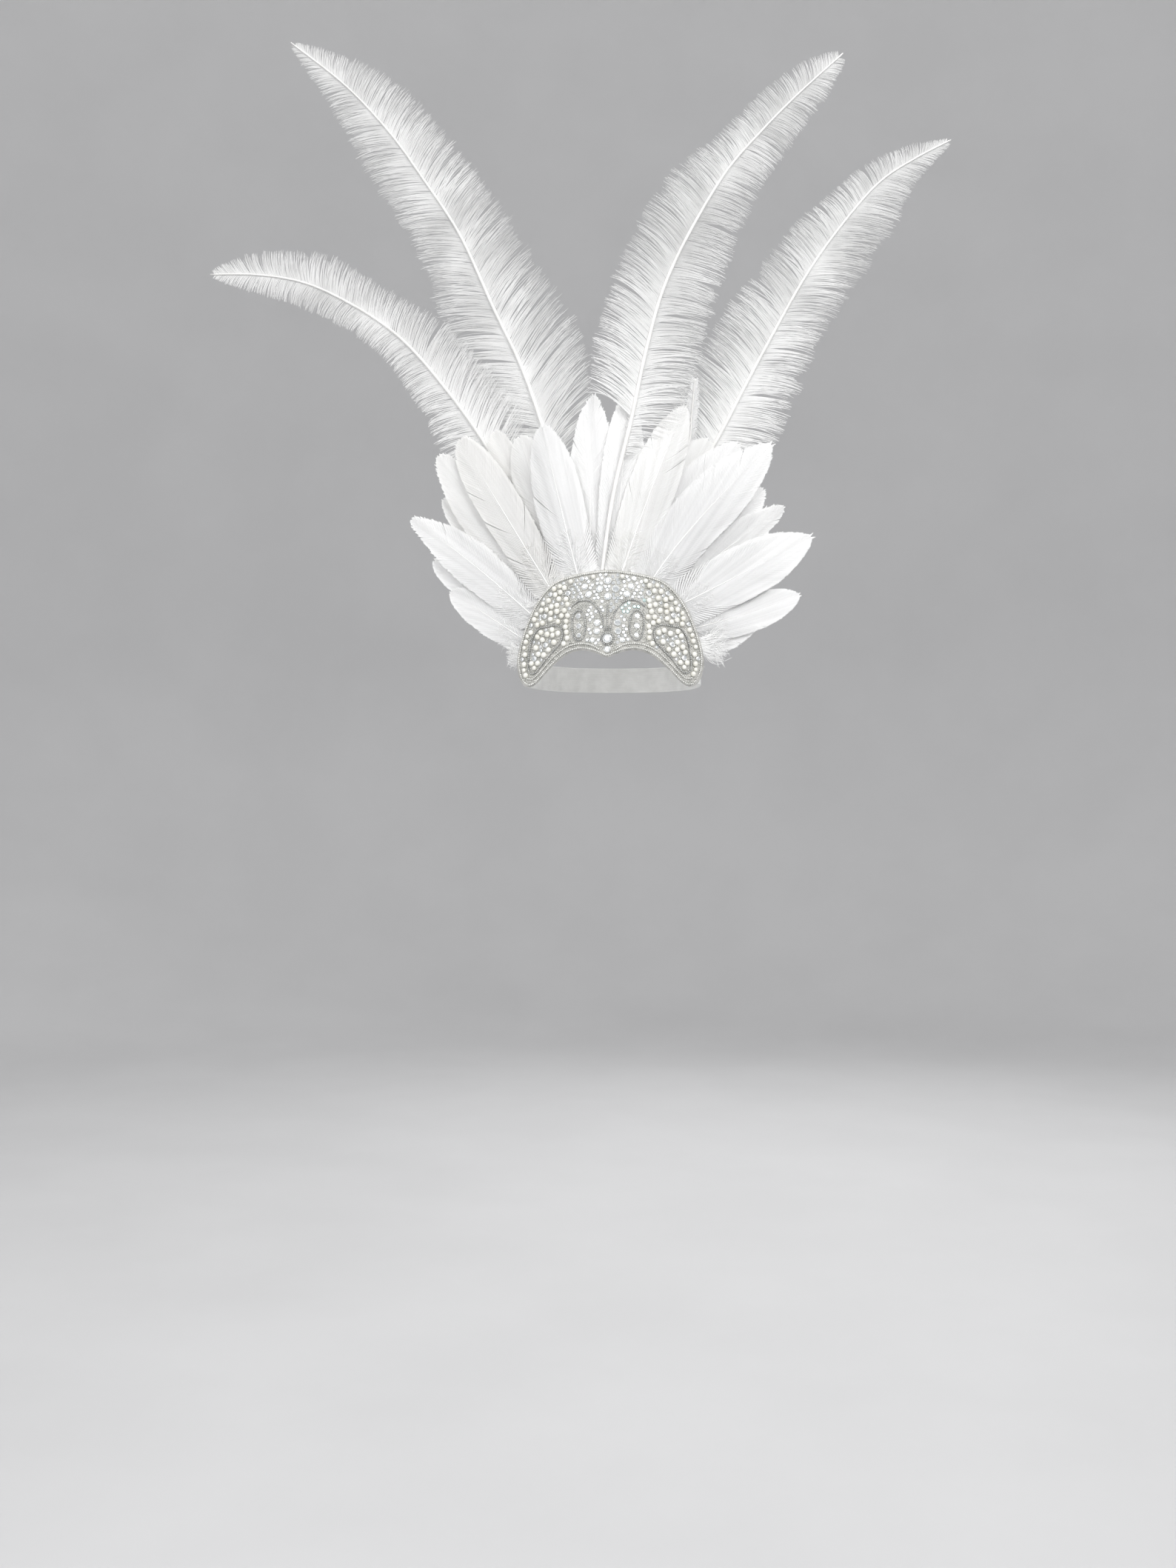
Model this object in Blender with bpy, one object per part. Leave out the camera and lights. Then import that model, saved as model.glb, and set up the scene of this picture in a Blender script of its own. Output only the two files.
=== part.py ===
# White feather headdress: a beaded crescent headband that carries a fan of goose
# feathers, four ostrich plumes and an elastic strap. Metres, +Z up, the wearer
# faces -Y. The origin is the middle of the loop that sits on the head.
import math

import bmesh
import bpy

for old in list(bpy.data.objects):
    bpy.data.objects.remove(old)

MM = 0.001

# The whole headdress lies on one bent sheet. Seen from above it is a bow round
# the forehead that runs on into two straighter wings, and it leans back as it rises.
FRONT = -101.0
REACH = 56.0
BEND = 62.0
BOW_END = 85.0
WING_SLOPE = 0.18
WING_FADE = 60.0
LEAN = 0.12

BAND_THICK = 2.4
STRING_R = 0.9
LINE_R = 0.8
STRING_LIFT = 1.2

QUILL_R = 1.2
QUILL_SEAT = 1.75
QUILL_RISE_START = 1.0
QUILL_RISE = 9.5
VANE_EDGE = 0.3
GOOSE_FIRST = 4.9
GOOSE_PITCH = 2.9
GOOSE_OPEN = 0.016
CURL = 14.0
CURL_RUN = 150.0

STRAP_WIDE = 25.0
STRAP_THICK = 1.6
STRAP_Z = -4.0

collection = bpy.data.collections.new("feather headdress")
bpy.context.scene.collection.children.link(collection)


def material(name, colour, roughness, metallic=0.0):
    mat = bpy.data.materials.new(name)
    mat.use_nodes = True
    shader = mat.node_tree.nodes["Principled BSDF"]
    shader.inputs["Base Color"].default_value = (*colour, 1.0)
    shader.inputs["Roughness"].default_value = roughness
    shader.inputs["Metallic"].default_value = metallic
    return mat


def add_mesh(name, verts, faces, mat):
    mesh = bpy.data.meshes.new(name)
    mesh.from_pydata([[c * MM for c in v] for v in verts], [], faces)
    bm = bmesh.new()
    bm.from_mesh(mesh)
    bmesh.ops.recalc_face_normals(bm, faces=bm.faces)
    bm.to_mesh(mesh)
    bm.free()
    obj = bpy.data.objects.new(name, mesh)
    mesh.materials.append(mat)
    collection.objects.link(obj)
    return obj


def bow_slope(x):
    bow = REACH * x / (BEND ** 2 * math.sqrt(1 + (x / BEND) ** 2))
    if abs(x) <= BOW_END:
        return bow
    side = math.copysign(1.0, x)
    end = REACH * BOW_END / (BEND ** 2 * math.sqrt(1 + (BOW_END / BEND) ** 2))
    fade = math.exp(-(abs(x) - BOW_END) / WING_FADE)
    return side * (WING_SLOPE + (end - WING_SLOPE) * fade)


def bow(x):
    if abs(x) <= BOW_END:
        return REACH * (math.sqrt(1 + (x / BEND) ** 2) - 1)
    run = abs(x) - BOW_END
    extra = (bow_slope(BOW_END) - WING_SLOPE) * WING_FADE
    return bow(BOW_END) + WING_SLOPE * run + extra * (1 - math.exp(-run / WING_FADE))


def stretch(x):
    return math.sqrt(1 + bow_slope(x) ** 2 + LEAN ** 2)


def on_sheet(x, z, behind):
    """A point at (x, z) of the front view, so far behind the band's front face."""
    return (x, FRONT + bow(x) + LEAN * z + behind * stretch(x), z)


def smooth_line(points, steps):
    """Points of a smooth line through the given ones, so many steps in all."""
    line = []
    count = len(points) - 1
    for step in range(steps + 1):
        place = step / steps * count
        i = min(int(place), count - 1)
        f = place - i
        p = [points[max(i - 1, 0)], points[i], points[i + 1], points[min(i + 2, count)]]
        line.append(tuple(
            0.5 * (2 * b + (c - a) * f + (2 * a - 5 * b + 4 * c - d) * f ** 2
                   + (3 * b - a - 3 * c + d) * f ** 3)
            for a, b, c, d in zip(*p)))
    return line


def between(table, u, column=1):
    """A column of a table, read between its rows; the rows go by their first column."""
    for low, high in zip(table, table[1:]):
        if u <= high[0]:
            f = max(u - low[0], 0.0) / (high[0] - low[0])
            return low[column] + (high[column] - low[column]) * f
    return table[-1][column]


def ease(u):
    u = min(max(u, 0.0), 1.0)
    return u * u * (3 - 2 * u)


# Headband. A stiff plate cut as a crescent: the half outline has the columns x,
# upper edge, lower edge, in the front view. It is bent round the forehead.
BAND_EDGE = [
    (0.0, 87.8, 5.4),
    (3.5, 87.7, 6.6),
    (8.0, 87.4, 8.6),
    (14.0, 86.8, 10.9),
    (20.0, 86.1, 12.3),
    (26.0, 85.2, 12.5),
    (32.0, 84.3, 11.6),
    (38.0, 83.1, 9.2),
    (44.0, 81.6, 5.6),
    (50.0, 79.3, 0.8),
    (56.0, 75.6, -4.6),
    (62.0, 69.8, -10.8),
    (67.0, 63.7, -15.8),
    (71.0, 58.4, -18.8),
    (75.0, 51.0, -20.0),
    (79.0, 41.4, -19.4),
    (82.5, 32.0, -17.0),
    (85.5, 22.6, -12.4),
    (87.6, 14.0, -6.4),
    (88.6, 6.0, 0.6),
]

band_columns = [(-x, top, low) for x, top, low in reversed(BAND_EDGE[1:])] + BAND_EDGE
band_verts = []
for x, top, low in band_columns:
    band_verts.append(on_sheet(x, low, 0.0))
    band_verts.append(on_sheet(x, top, 0.0))
    band_verts.append(on_sheet(x, top, BAND_THICK))
    band_verts.append(on_sheet(x, low, BAND_THICK))
band_faces = []
for i in range(len(band_columns) - 1):
    for j in range(4):
        k = (j + 1) % 4
        band_faces.append((i * 4 + j, i * 4 + k, i * 4 + 4 + k, i * 4 + 4 + j))
band_faces.append((0, 1, 2, 3))
band_faces.append(tuple(range(len(band_verts) - 4, len(band_verts))))

beaded = material("silver beaded net", (0.62, 0.61, 0.55), 0.35)
band = add_mesh("crescent_headband", band_verts, band_faces, beaded)


def stone(verts, faces, x, z, size, sink, lift):
    """A round cut stone: eight crown facets and a table, its back in or over the band."""
    slope = bow_slope(x)
    centre = on_sheet(x, z, 0.0)
    length = math.sqrt(1 + slope ** 2 + LEAN ** 2)
    out = (slope / length, -1 / length, LEAN / length)
    flat = math.sqrt(1 + slope ** 2)
    along = (1 / flat, slope / flat, 0.0)
    up = (-out[1] * along[2] + out[2] * along[1],
          -out[2] * along[0] + out[0] * along[2],
          -out[0] * along[1] + out[1] * along[0])
    first = len(verts)
    rings = ((size * 0.5, -sink), (size * 0.5, lift + size * 0.16), (size * 0.3, lift + size * 0.36))
    for radius, height in rings:
        for k in range(8):
            angle = math.tau * (k + 0.5) / 8
            verts.append(tuple(
                centre[a] + out[a] * height + radius * (
                    along[a] * math.cos(angle) - up[a] * math.sin(angle))
                for a in range(3)))
    for ring in range(2):
        for k in range(8):
            a = first + ring * 8 + k
            b = first + ring * 8 + (k + 1) % 8
            faces.append((a, b, b + 8, a + 8))
    faces.append(tuple(range(first + 7, first - 1, -1)))
    faces.append(tuple(range(first + 16, first + 24)))


# Pearls and crystals sewn all over the band, one half of the pattern: x, z, diameter.
FIELD_HALF = [
    (-13.5, 81.0, 4.4),
    (-24.0, 79.6, 4.4),
    (-35.0, 77.6, 4.4),
    (-45.5, 73.8, 4.4),
    (-54.8, 66.8, 4.6),
    (-62.2, 58.2, 4.4),
    (-68.6, 48.8, 4.4),
    (-74.0, 38.8, 4.4),
    (-77.8, 28.4, 4.4),
    (-81.0, 17.6, 4.2),
    (-82.8, 6.8, 4.2),
    (-81.0, -3.8, 4.2),
    (-46.4, 61.8, 5.2),
    (-53.6, 55.0, 5.2),
    (-37.4, 66.6, 5.2),
    (-60.2, 46.4, 5.2),
    (-48.2, 50.2, 5.4),
    (-54.6, 43.0, 5.0),
    (-47.0, 29.4, 5.4),
    (-50.8, 21.0, 5.6),
    (-57.6, 29.0, 5.6),
    (-59.0, 19.0, 5.4),
    (-60.8, 9.6, 5.6),
    (-67.6, 27.2, 5.2),
    (-69.0, 16.8, 5.4),
    (-70.0, 6.6, 5.4),
    (-70.4, -2.2, 4.6),
    (-26.8, 35.2, 5.0),
    (-27.2, 44.6, 5.0),
    (-26.6, 26.6, 4.4),
    (-13.8, 22.0, 4.8),
]

field_verts = []
field_faces = []
for side in (-1.0, 1.0):
    for x, z, size in FIELD_HALF:
        stone(field_verts, field_faces, x * -side, z, size, 0.8, 0.0)
field = add_mesh("field_stones", field_verts, field_faces, beaded)
fuse = band.modifiers.new("sew stones on", "BOOLEAN")
fuse.operation = "UNION"
fuse.solver = "EXACT"
fuse.object = field
field.hide_render = True
field.display_type = "WIRE"

# Main crystals in the middle of the band, each a stone of its own: name, x, z, diameter.
MAIN_STONES = [
    ("point_crystal", 0.0, 13.0, 6.0),
    ("ring_crystal", 0.0, 23.0, 8.0),
    ("upper_crystal_left", -7.4, 69.6, 6.2),
    ("upper_crystal_right", 7.4, 69.6, 6.2),
    ("top_crystal", 0.0, 77.2, 6.4),
    ("middle_crystal", 0.0, 62.4, 6.6),
    ("cluster_crystal_1_left", -21.4, 72.2, 5.8),
    ("cluster_crystal_1_right", 21.4, 72.2, 5.8),
    ("cluster_crystal_2_left", -17.6, 64.8, 6.0),
    ("cluster_crystal_2_right", 17.6, 64.8, 6.0),
]

crystal = material("cut crystal", (0.86, 0.9, 0.92), 0.08)
for name, x, z, size in MAIN_STONES:
    stone_verts = []
    stone_faces = []
    stone(stone_verts, stone_faces, x, z, size, -0.3, 0.3)
    add_mesh(name, stone_verts, stone_faces, crystal)

silver = material("silver bead string", (0.72, 0.72, 0.7), 0.3, 0.6)


def bead_string(name, points, steps, radius, closed=False):
    """A string of small beads laid on the band's face, as one round tube."""
    line = smooth_line(points + points[:1] if closed else points, steps)
    if closed:
        line = line[:-1]
    curve = bpy.data.curves.new(name, "CURVE")
    curve.dimensions = "3D"
    curve.bevel_depth = radius * MM
    curve.bevel_resolution = 2
    curve.resolution_u = 1
    curve.render_resolution_u = 0
    curve.use_fill_caps = True
    spline = curve.splines.new("POLY")
    spline.points.add(len(line) - 1)
    for point, (x, z) in zip(spline.points, line):
        place = on_sheet(x, z, -STRING_LIFT)
        point.co = (place[0] * MM, place[1] * MM, place[2] * MM, 1.0)
    spline.use_cyclic_u = closed
    curve.materials.append(silver)
    obj = bpy.data.objects.new(name, curve)
    collection.objects.link(obj)
    return obj


# Bead strings. The rim string follows the outline a little inside the edge.
RIM_HALF = [
    (0.0, 85.6),
    (14.0, 84.8),
    (28.0, 82.8),
    (40.0, 80.4),
    (50.0, 77.0),
    (59.0, 70.2),
    (67.0, 60.6),
    (73.4, 49.4),
    (79.2, 36.0),
    (83.4, 23.0),
    (86.2, 10.0),
    (86.2, 0.4),
    (83.8, -9.6),
    (79.0, -16.4),
    (73.4, -17.6),
    (67.6, -13.8),
    (61.0, -7.2),
    (53.4, 0.4),
    (45.6, 7.2),
    (36.6, 12.4),
    (26.0, 14.8),
    (15.0, 13.4),
    (6.6, 10.2),
    (0.0, 7.6),
]
rim = RIM_HALF + [(-x, z) for x, z in reversed(RIM_HALF[1:-1])]
bead_string("rim_bead_string", rim, 60, STRING_R, closed=True)

# One half of the inner strings; the left ones mirror the right ones.
LOWER_LINE = [(77.4, -11.8), (72.0, -12.4), (64.6, -6.0), (56.4, 2.6), (47.4, 10.6),
              (37.0, 16.6), (26.0, 18.8), (15.6, 17.4), (8.2, 13.4)]
SIDE_OVAL = [(43.0, 32.0), (43.6, 23.0), (49.0, 15.6), (57.6, 7.0), (64.6, -1.6),
             (70.6, -7.4), (75.6, -5.6), (76.8, 3.0), (75.6, 14.0), (72.8, 26.0),
             (67.0, 34.4), (56.0, 36.6), (47.4, 36.4)]
LEAF = [(33.4, 40.0), (33.0, 31.0), (30.4, 24.0), (26.4, 21.8), (22.2, 25.6), (20.4, 36.0),
        (22.4, 46.0), (27.2, 50.0), (31.8, 47.0)]
SCROLL = [(2.4, 31.0), (4.6, 42.0), (10.2, 52.6), (17.8, 58.8), (27.4, 58.6),
          (34.0, 54.0)]
STEM = [(0.0, 31.0), (0.0, 38.0), (0.0, 46.0), (0.0, 54.0)]

for side, sign in (("left", -1), ("right", 1)):
    bead_string("lower_bead_line_" + side, [(x * sign, z) for x, z in LOWER_LINE], 14, LINE_R)
    bead_string("side_oval_string_" + side, [(x * sign, z) for x, z in SIDE_OVAL], 20, LINE_R, True)
    bead_string("leaf_string_" + side, [(x * sign, z) for x, z in LEAF], 13, LINE_R, True)
    bead_string("scroll_string_" + side, [(x * sign, z) for x, z in SCROLL], 8, LINE_R)
bead_string("middle_stem_string", STEM, 3, LINE_R)

# Goose feathers. Each is a thin vane on a quill: place of the quill's end, of the
# middle and of the tip in the front view, width, and the layer it lies in.
GOOSE = [
    ("goose_feather_left_1", (-52, 12), (-86, 29), (-120, 46), 30, 2),
    ("goose_feather_left_2", (-62, 13), (-115, 48), (-161, 79), 34, 0),
    ("goose_feather_left_3", (-68, 35), (-126, 77), (-181, 112), 38, 1),
    ("goose_feather_left_4", (-68, 43), (-139, 105), (-206, 155), 40, 0),
    ("goose_feather_left_5", (-65, 52), (-121, 118), (-174, 175), 34, 2),
    ("goose_feather_left_6", (-60, 60), (-123, 144), (-179, 220), 44, 1),
    ("goose_feather_left_7", (-52, 67), (-110, 159), (-155, 233), 42, 0),
    ("goose_feather_left_8", (-44, 71), (-88, 161), (-121, 241), 42, 2),
    ("goose_feather_left_9", (-35, 74), (-68, 159), (-93, 230), 42, 1),
    ("goose_feather_left_10", (-27, 76), (-49, 159), (-68, 236), 46, 0),
    ("goose_feather_middle_1", (-17, 78), (-19, 167), (-17, 262), 42, 2),
    ("goose_feather_middle_2", (2, 78), (11, 169), (15, 260), 40, 1),
    ("goose_feather_middle_3", (10, 77), (38, 164), (70, 254), 42, 0),
    ("goose_feather_right_9", (18, 75), (53, 154), (93, 226), 44, 2),
    ("goose_feather_right_8", (27, 72), (69, 150), (122, 224), 46, 1),
    ("goose_feather_right_7", (34, 69), (84, 143), (155, 224), 50, 0),
    ("goose_feather_right_6", (41, 65), (94, 123), (147, 180), 42, 2),
    ("goose_feather_right_5", (48, 59), (105, 112), (166, 162), 40, 1),
    ("goose_feather_right_4", (55, 51), (121, 90), (193, 132), 50, 0),
    ("goose_feather_right_3", (60, 42), (115, 77), (172, 112), 40, 2),
    ("goose_feather_right_2", (63, 32), (122, 51), (181, 74), 36, 1),
    ("goose_feather_right_1", (65, 23), (101, 31), (140, 43), 30, 2),
]

# Half width of a goose vane along its length, as parts of its widest.
GOOSE_VANE = [(0.0, 0.36), (0.08, 0.6), (0.25, 0.82), (0.5, 0.98), (0.72, 0.98),
              (0.86, 0.82), (0.95, 0.52), (1.0, 0.12)]
GOOSE_BARE = 11.0

satin = material("white goose feather", (0.9, 0.9, 0.88), 0.5)


def curl(run):
    """How far a feather bends back, so far along its shaft."""
    return CURL * (1 - math.exp(-(run / CURL_RUN) ** 2))


def goose_depth(layer, run, across):
    """How far behind the band's front a goose vane lies, so far along its shaft."""
    rise = ease((run - QUILL_RISE_START) / QUILL_RISE)
    layer_depth = GOOSE_FIRST + layer * (GOOSE_PITCH + GOOSE_OPEN * run)
    seat = BAND_THICK + QUILL_SEAT
    return seat + (layer_depth - QUILL_SEAT) * rise + curl(run) + across


def goose_feather(name, base, middle, tip, width, layer):
    length = math.dist(base, tip)
    bare = GOOSE_BARE / length
    places = [0.0, bare * 0.7] + [bare + (1 - bare) * u for u, _ in GOOSE_VANE]
    verts = []
    for t in places:
        spots = []
        for u in (t - 0.01, t, t + 0.01):
            a = (1 - u) * (1 - 2 * u)
            b = 4 * u * (1 - u)
            c = u * (2 * u - 1)
            spots.append((a * base[0] + b * middle[0] + c * tip[0],
                          a * base[1] + b * middle[1] + c * tip[1]))
        (x0, z0), (x, z), (x1, z1) = spots
        size = math.hypot(x1 - x0, z1 - z0)
        side = (-(z1 - z0) / size, (x1 - x0) / size)
        u = (t - bare) / (1 - bare)
        vane = u > -0.001
        half = between(GOOSE_VANE, max(u, 0.0)) * width * 0.5 if vane else QUILL_R
        shaft = QUILL_R * (1.0 - 0.6 * t)
        edge = VANE_EDGE if vane else 0.5 * QUILL_R
        cup = (half * 2 / width) ** 2 if vane else 0.0
        run = t * length
        ring = (
            (-half, cup - edge),
            (-0.7 * shaft, -0.75 * shaft),
            (0.0, -shaft),
            (0.7 * shaft, -0.75 * shaft),
            (half, cup - edge),
            (half, cup + edge),
            (0.0, shaft),
            (-half, cup + edge),
        )
        for across, back in ring:
            depth = goose_depth(layer, run, back)
            verts.append(on_sheet(x + side[0] * across, z + side[1] * across, depth))
    faces = []
    for i in range(len(places) - 1):
        for j in range(8):
            k = (j + 1) % 8
            faces.append((i * 8 + j, i * 8 + k, i * 8 + 8 + k, i * 8 + 8 + j))
    faces.append(tuple(range(8)))
    faces.append(tuple(range(len(verts) - 8, len(verts))))
    return add_mesh(name, verts, faces, satin)


for row in GOOSE:
    goose_feather(*row)

# Ostrich plumes. Each has a long shaft and soft barbs, kept here as locks fused
# to the shaft: the shaft's places from the band to the tip, the depth behind the
# band, how fast that opens along the shaft, how far the tip nods forward, and the
# vane's rows: part of the length, width left and width right of the shaft. The
# barbs begin at the first row's part and end on the vane's edge.
PLUMES = [
    ("ostrich_plume_far_left",
     [(-24, 46), (-42, 80), (-88, 156), (-138, 240), (-183, 302), (-226, 351), (-274, 388),
      (-333, 420), (-390, 434), (-447, 438)], 16.5, 0.05, 22,
     [(0.22, 34, 40), (0.4, 38, 46), (0.5, 32, 43), (0.6, 26, 38), (0.66, 25, 30),
      (0.8, 26, 34), (0.88, 23, 29), (0.94, 16, 21), (0.98, 7, 10), (1.0, 1, 1)]),
    ("ostrich_plume_tall_left",
     [(-10, 48), (-22, 84), (-44, 160), (-73, 247), (-97, 312), (-127, 375), (-166, 460),
      (-207, 525), (-248, 584), (-300, 643), (-366, 700)], 22.0, 0.05, 22,
     [(0.18, 40, 44), (0.34, 52, 62), (0.5, 50, 54), (0.62, 44, 46), (0.8, 38, 41),
      (0.87, 29, 35), (0.94, 15, 18), (0.98, 6, 7), (1.0, 1, 1)]),
    ("ostrich_plume_tall_right",
     [(-8, 60), (-6, 84), (4, 160), (20, 234), (33, 302), (49, 366), (75, 430), (109, 495),
      (143, 540), (182, 584), (230, 631)], 1.75, 0.0, 14,
     [(0.22, 34, 38), (0.3, 43, 46), (0.4, 46, 49), (0.55, 43, 45), (0.68, 38, 38),
      (0.76, 26, 34), (0.86, 24, 27), (0.94, 16, 16), (0.98, 7, 7), (1.0, 1, 1)]),
    ("ostrich_plume_right",
     [(12, 46), (21, 80), (60, 155), (101, 231), (129, 289), (155, 341), (189, 405),
      (223, 457), (266, 510), (306, 539), (346, 561)], 20.0, 0.05, 22,
     [(0.22, 44, 42), (0.4, 52, 49), (0.5, 52, 44), (0.6, 44, 41), (0.72, 36, 45),
      (0.8, 27, 41), (0.88, 21, 31), (0.94, 14, 16), (0.98, 6, 7), (1.0, 1, 1)]),
    ("narrow_quill_feather",
     [(2, 56), (12, 80), (48, 148), (72, 215), (76, 251), (79, 290)], 16.6, 0.03, 0,
     [(0.5, 5, 5), (0.9, 6, 6), (0.97, 4, 4), (1.0, 3, 3)]),
]
PLUME_RISE_START = 4.0
PLUME_RISE = 34.0
PLUME_SHAFT_R = 1.35
PLUME_SHAFT_TAPER = 0.62
LOCKS = 17
NARROW_LOCKS = 5
NARROW = 10
LAST_ROOT = 0.975
SHEET_PART = 0.62
SHEET_HALF = 0.5
LOCK_HALF = 0.35
LOCK_LEAN = 0.5
BARB_ANGLE = math.radians(56)
BARB_CLOSING = 0.35
SHORTEST_LOCK = 3.4

fluff = material("white ostrich plume", (0.88, 0.88, 0.87), 0.75)


def plume_depth(seat, opening, nod, part, run):
    """How far behind the band's front a plume's shaft lies, so far along it."""
    rise = ease((run - PLUME_RISE_START) / PLUME_RISE)
    at_band = BAND_THICK + QUILL_SEAT
    return at_band + (seat - QUILL_SEAT + opening * run) * rise + curl(run) - nod * part ** 3


def plume(name, points, seat, opening, nod, vane):
    fine = smooth_line(points, 120)
    runs = [0.0]
    for a, b in zip(fine, fine[1:]):
        runs.append(runs[-1] + math.dist(a, b))
    total = runs[-1]

    def at(part):
        target = part * total
        i = 0
        while i < len(runs) - 2 and runs[i + 1] < target:
            i += 1
        f = (target - runs[i]) / (runs[i + 1] - runs[i])
        a, b = fine[i], fine[i + 1]
        size = math.dist(a, b)
        ahead = ((b[0] - a[0]) / size, (b[1] - a[1]) / size)
        return (a[0] + (b[0] - a[0]) * f, a[1] + (b[1] - a[1]) * f), ahead

    start = vane[0][0]
    quill = [0.0, 0.4 * start]
    locks = LOCKS if vane[0][1] > NARROW else NARROW_LOCKS
    stations = quill + [start + (LAST_ROOT - start) * i / locks for i in range(locks + 1)]
    first = len(quill)
    verts = []
    faces = []

    def put(x, z, part, back):
        depth = plume_depth(seat, opening, nod, part, part * total)
        verts.append(on_sheet(x, z, depth + back))
        return len(verts) - 1

    rings = []
    for part in stations:
        (x, z), ahead = at(part)
        side = (-ahead[1], ahead[0])
        r = PLUME_SHAFT_R * (1 - PLUME_SHAFT_TAPER * part)
        ring = []
        for across, back in ((r, -0.5 * r), (0, -r), (-r, -0.5 * r), (-r, 0.6 * r), (r, 0.6 * r)):
            ring.append(put(x + side[0] * across, z + side[1] * across, part, back))
        rings.append(ring)
    for i in range(len(rings) - 1):
        a, b = rings[i], rings[i + 1]
        for j in (0, 1, 3):
            faces.append((a[j], a[j + 1], b[j + 1], b[j]))
        if i < first:
            faces.append((a[4], a[0], b[0], b[4]))
            faces.append((a[2], a[3], b[3], b[2]))
    faces.append(tuple(rings[0]))
    faces.append(tuple(rings[-1]))

    def lock_length(part, angle, column):
        """Length of the barbs rooted at a part of the shaft, so that they end on the vane's edge."""
        end = part
        for _ in range(16):
            width = between(vane, end, column)
            end = min(part + width / math.tan(angle) / total, 1.0)
        return max(width / math.sin(angle), SHORTEST_LOCK)

    for sign, column, front, back in ((1, 1, 0, 4), (-1, 2, 2, 3)):
        inner = []
        for i in range(locks + 1):
            part = stations[first + i]
            (x, z), ahead = at(part)
            side = (-ahead[1] * sign, ahead[0] * sign)
            angle = BARB_ANGLE * (1 - BARB_CLOSING * ((part - start) / (LAST_ROOT - start)) ** 3)
            size = lock_length(part, angle, column)
            way = (ahead[0] * math.cos(angle) + side[0] * math.sin(angle),
                   ahead[1] * math.cos(angle) + side[1] * math.sin(angle))
            near = SHEET_PART * size
            mid = (x + way[0] * near, z + way[1] * near)
            inner.append((part, mid, way, size,
                          put(mid[0], mid[1], part, -SHEET_HALF),
                          put(mid[0], mid[1], part, SHEET_HALF)))
        for i in range(locks):
            a, b = rings[first + i], rings[first + i + 1]
            p, q = inner[i], inner[i + 1]
            if sign == 1:
                faces.append((a[front], b[front], q[4], p[4]))
                faces.append((a[back], p[5], q[5], b[back]))
            else:
                faces.append((a[front], p[4], q[4], b[front]))
                faces.append((a[back], b[back], q[5], p[5]))
            stray = 1.0 + 0.06 * math.sin(2.4 * i + sign) + 0.04 * math.sin(5.1 * i)
            lean = LOCK_LEAN * math.sin(2.0 * i + 1.3 * sign)
            tip = []
            for f in (0.36, 0.64):
                size = (p[3] + (q[3] - p[3]) * f) * (stray - SHEET_PART)
                way = p[2]
                x = p[1][0] + (q[1][0] - p[1][0]) * f + way[0] * size
                z = p[1][1] + (q[1][1] - p[1][1]) * f + way[1] * size
                tip.append(put(x, z, p[0], lean - LOCK_HALF))
                tip.append(put(x, z, p[0], lean + LOCK_HALF))
            faces.append((p[4], q[4], tip[2], tip[0]))
            faces.append((p[5], tip[1], tip[3], q[5]))
            faces.append((p[4], tip[0], tip[1], p[5]))
            faces.append((q[4], q[5], tip[3], tip[2]))
            faces.append((tip[0], tip[2], tip[3], tip[1]))
        for i, end in ((0, rings[first]), (locks, rings[-1])):
            faces.append((end[front], inner[i][4], inner[i][5], end[back]))
    return add_mesh(name, verts, faces, fluff)


for row in PLUMES:
    plume(*row)


# Tufts of down at the lower sides, behind the band's edge: a lumpy pad whose
# locks run outwards. Middle in the front view, length, height.
TUFT_SIDES = 12
TUFT_RINGS = 5
TUFT_GAP = 0.4
TUFT_DEPTH = 2.4


def down_tuft(name, x, z, wide, high, sign):
    verts = []
    faces = []
    for ring in range(TUFT_RINGS):
        v = ring / (TUFT_RINGS - 1)
        for k in range(TUFT_SIDES):
            angle = math.tau * k / TUFT_SIDES
            lock = 1.0 + 0.22 * math.sin(3 * angle + 0.8) * v + 0.1 * math.sin(5 * angle) * v
            spread = (0.22 + 0.78 * math.sin(math.pi * (0.12 + 0.62 * v))) * lock
            along = (v - 0.5) * wide * lock
            px = x + sign * along
            pz = z + math.sin(angle) * high * 0.5 * spread
            back = BAND_THICK + TUFT_GAP + TUFT_DEPTH * spread * (1 + math.cos(angle))
            verts.append(on_sheet(px, pz, back))
    for first in range(0, len(verts) - TUFT_SIDES, TUFT_SIDES):
        for k in range(TUFT_SIDES):
            n = (k + 1) % TUFT_SIDES
            faces.append((first + k, first + n, first + TUFT_SIDES + n, first + TUFT_SIDES + k))
    faces.append(tuple(range(TUFT_SIDES)))
    faces.append(tuple(range(len(verts) - TUFT_SIDES, len(verts))))
    return add_mesh(name, verts, faces, down)


down = material("white down", (0.9, 0.9, 0.89), 0.85)
down_tuft("down_tuft_left", -92, 13, 20, 16, -1)
down_tuft("down_tuft_right", 99, 18, 30, 14, 1)

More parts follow.
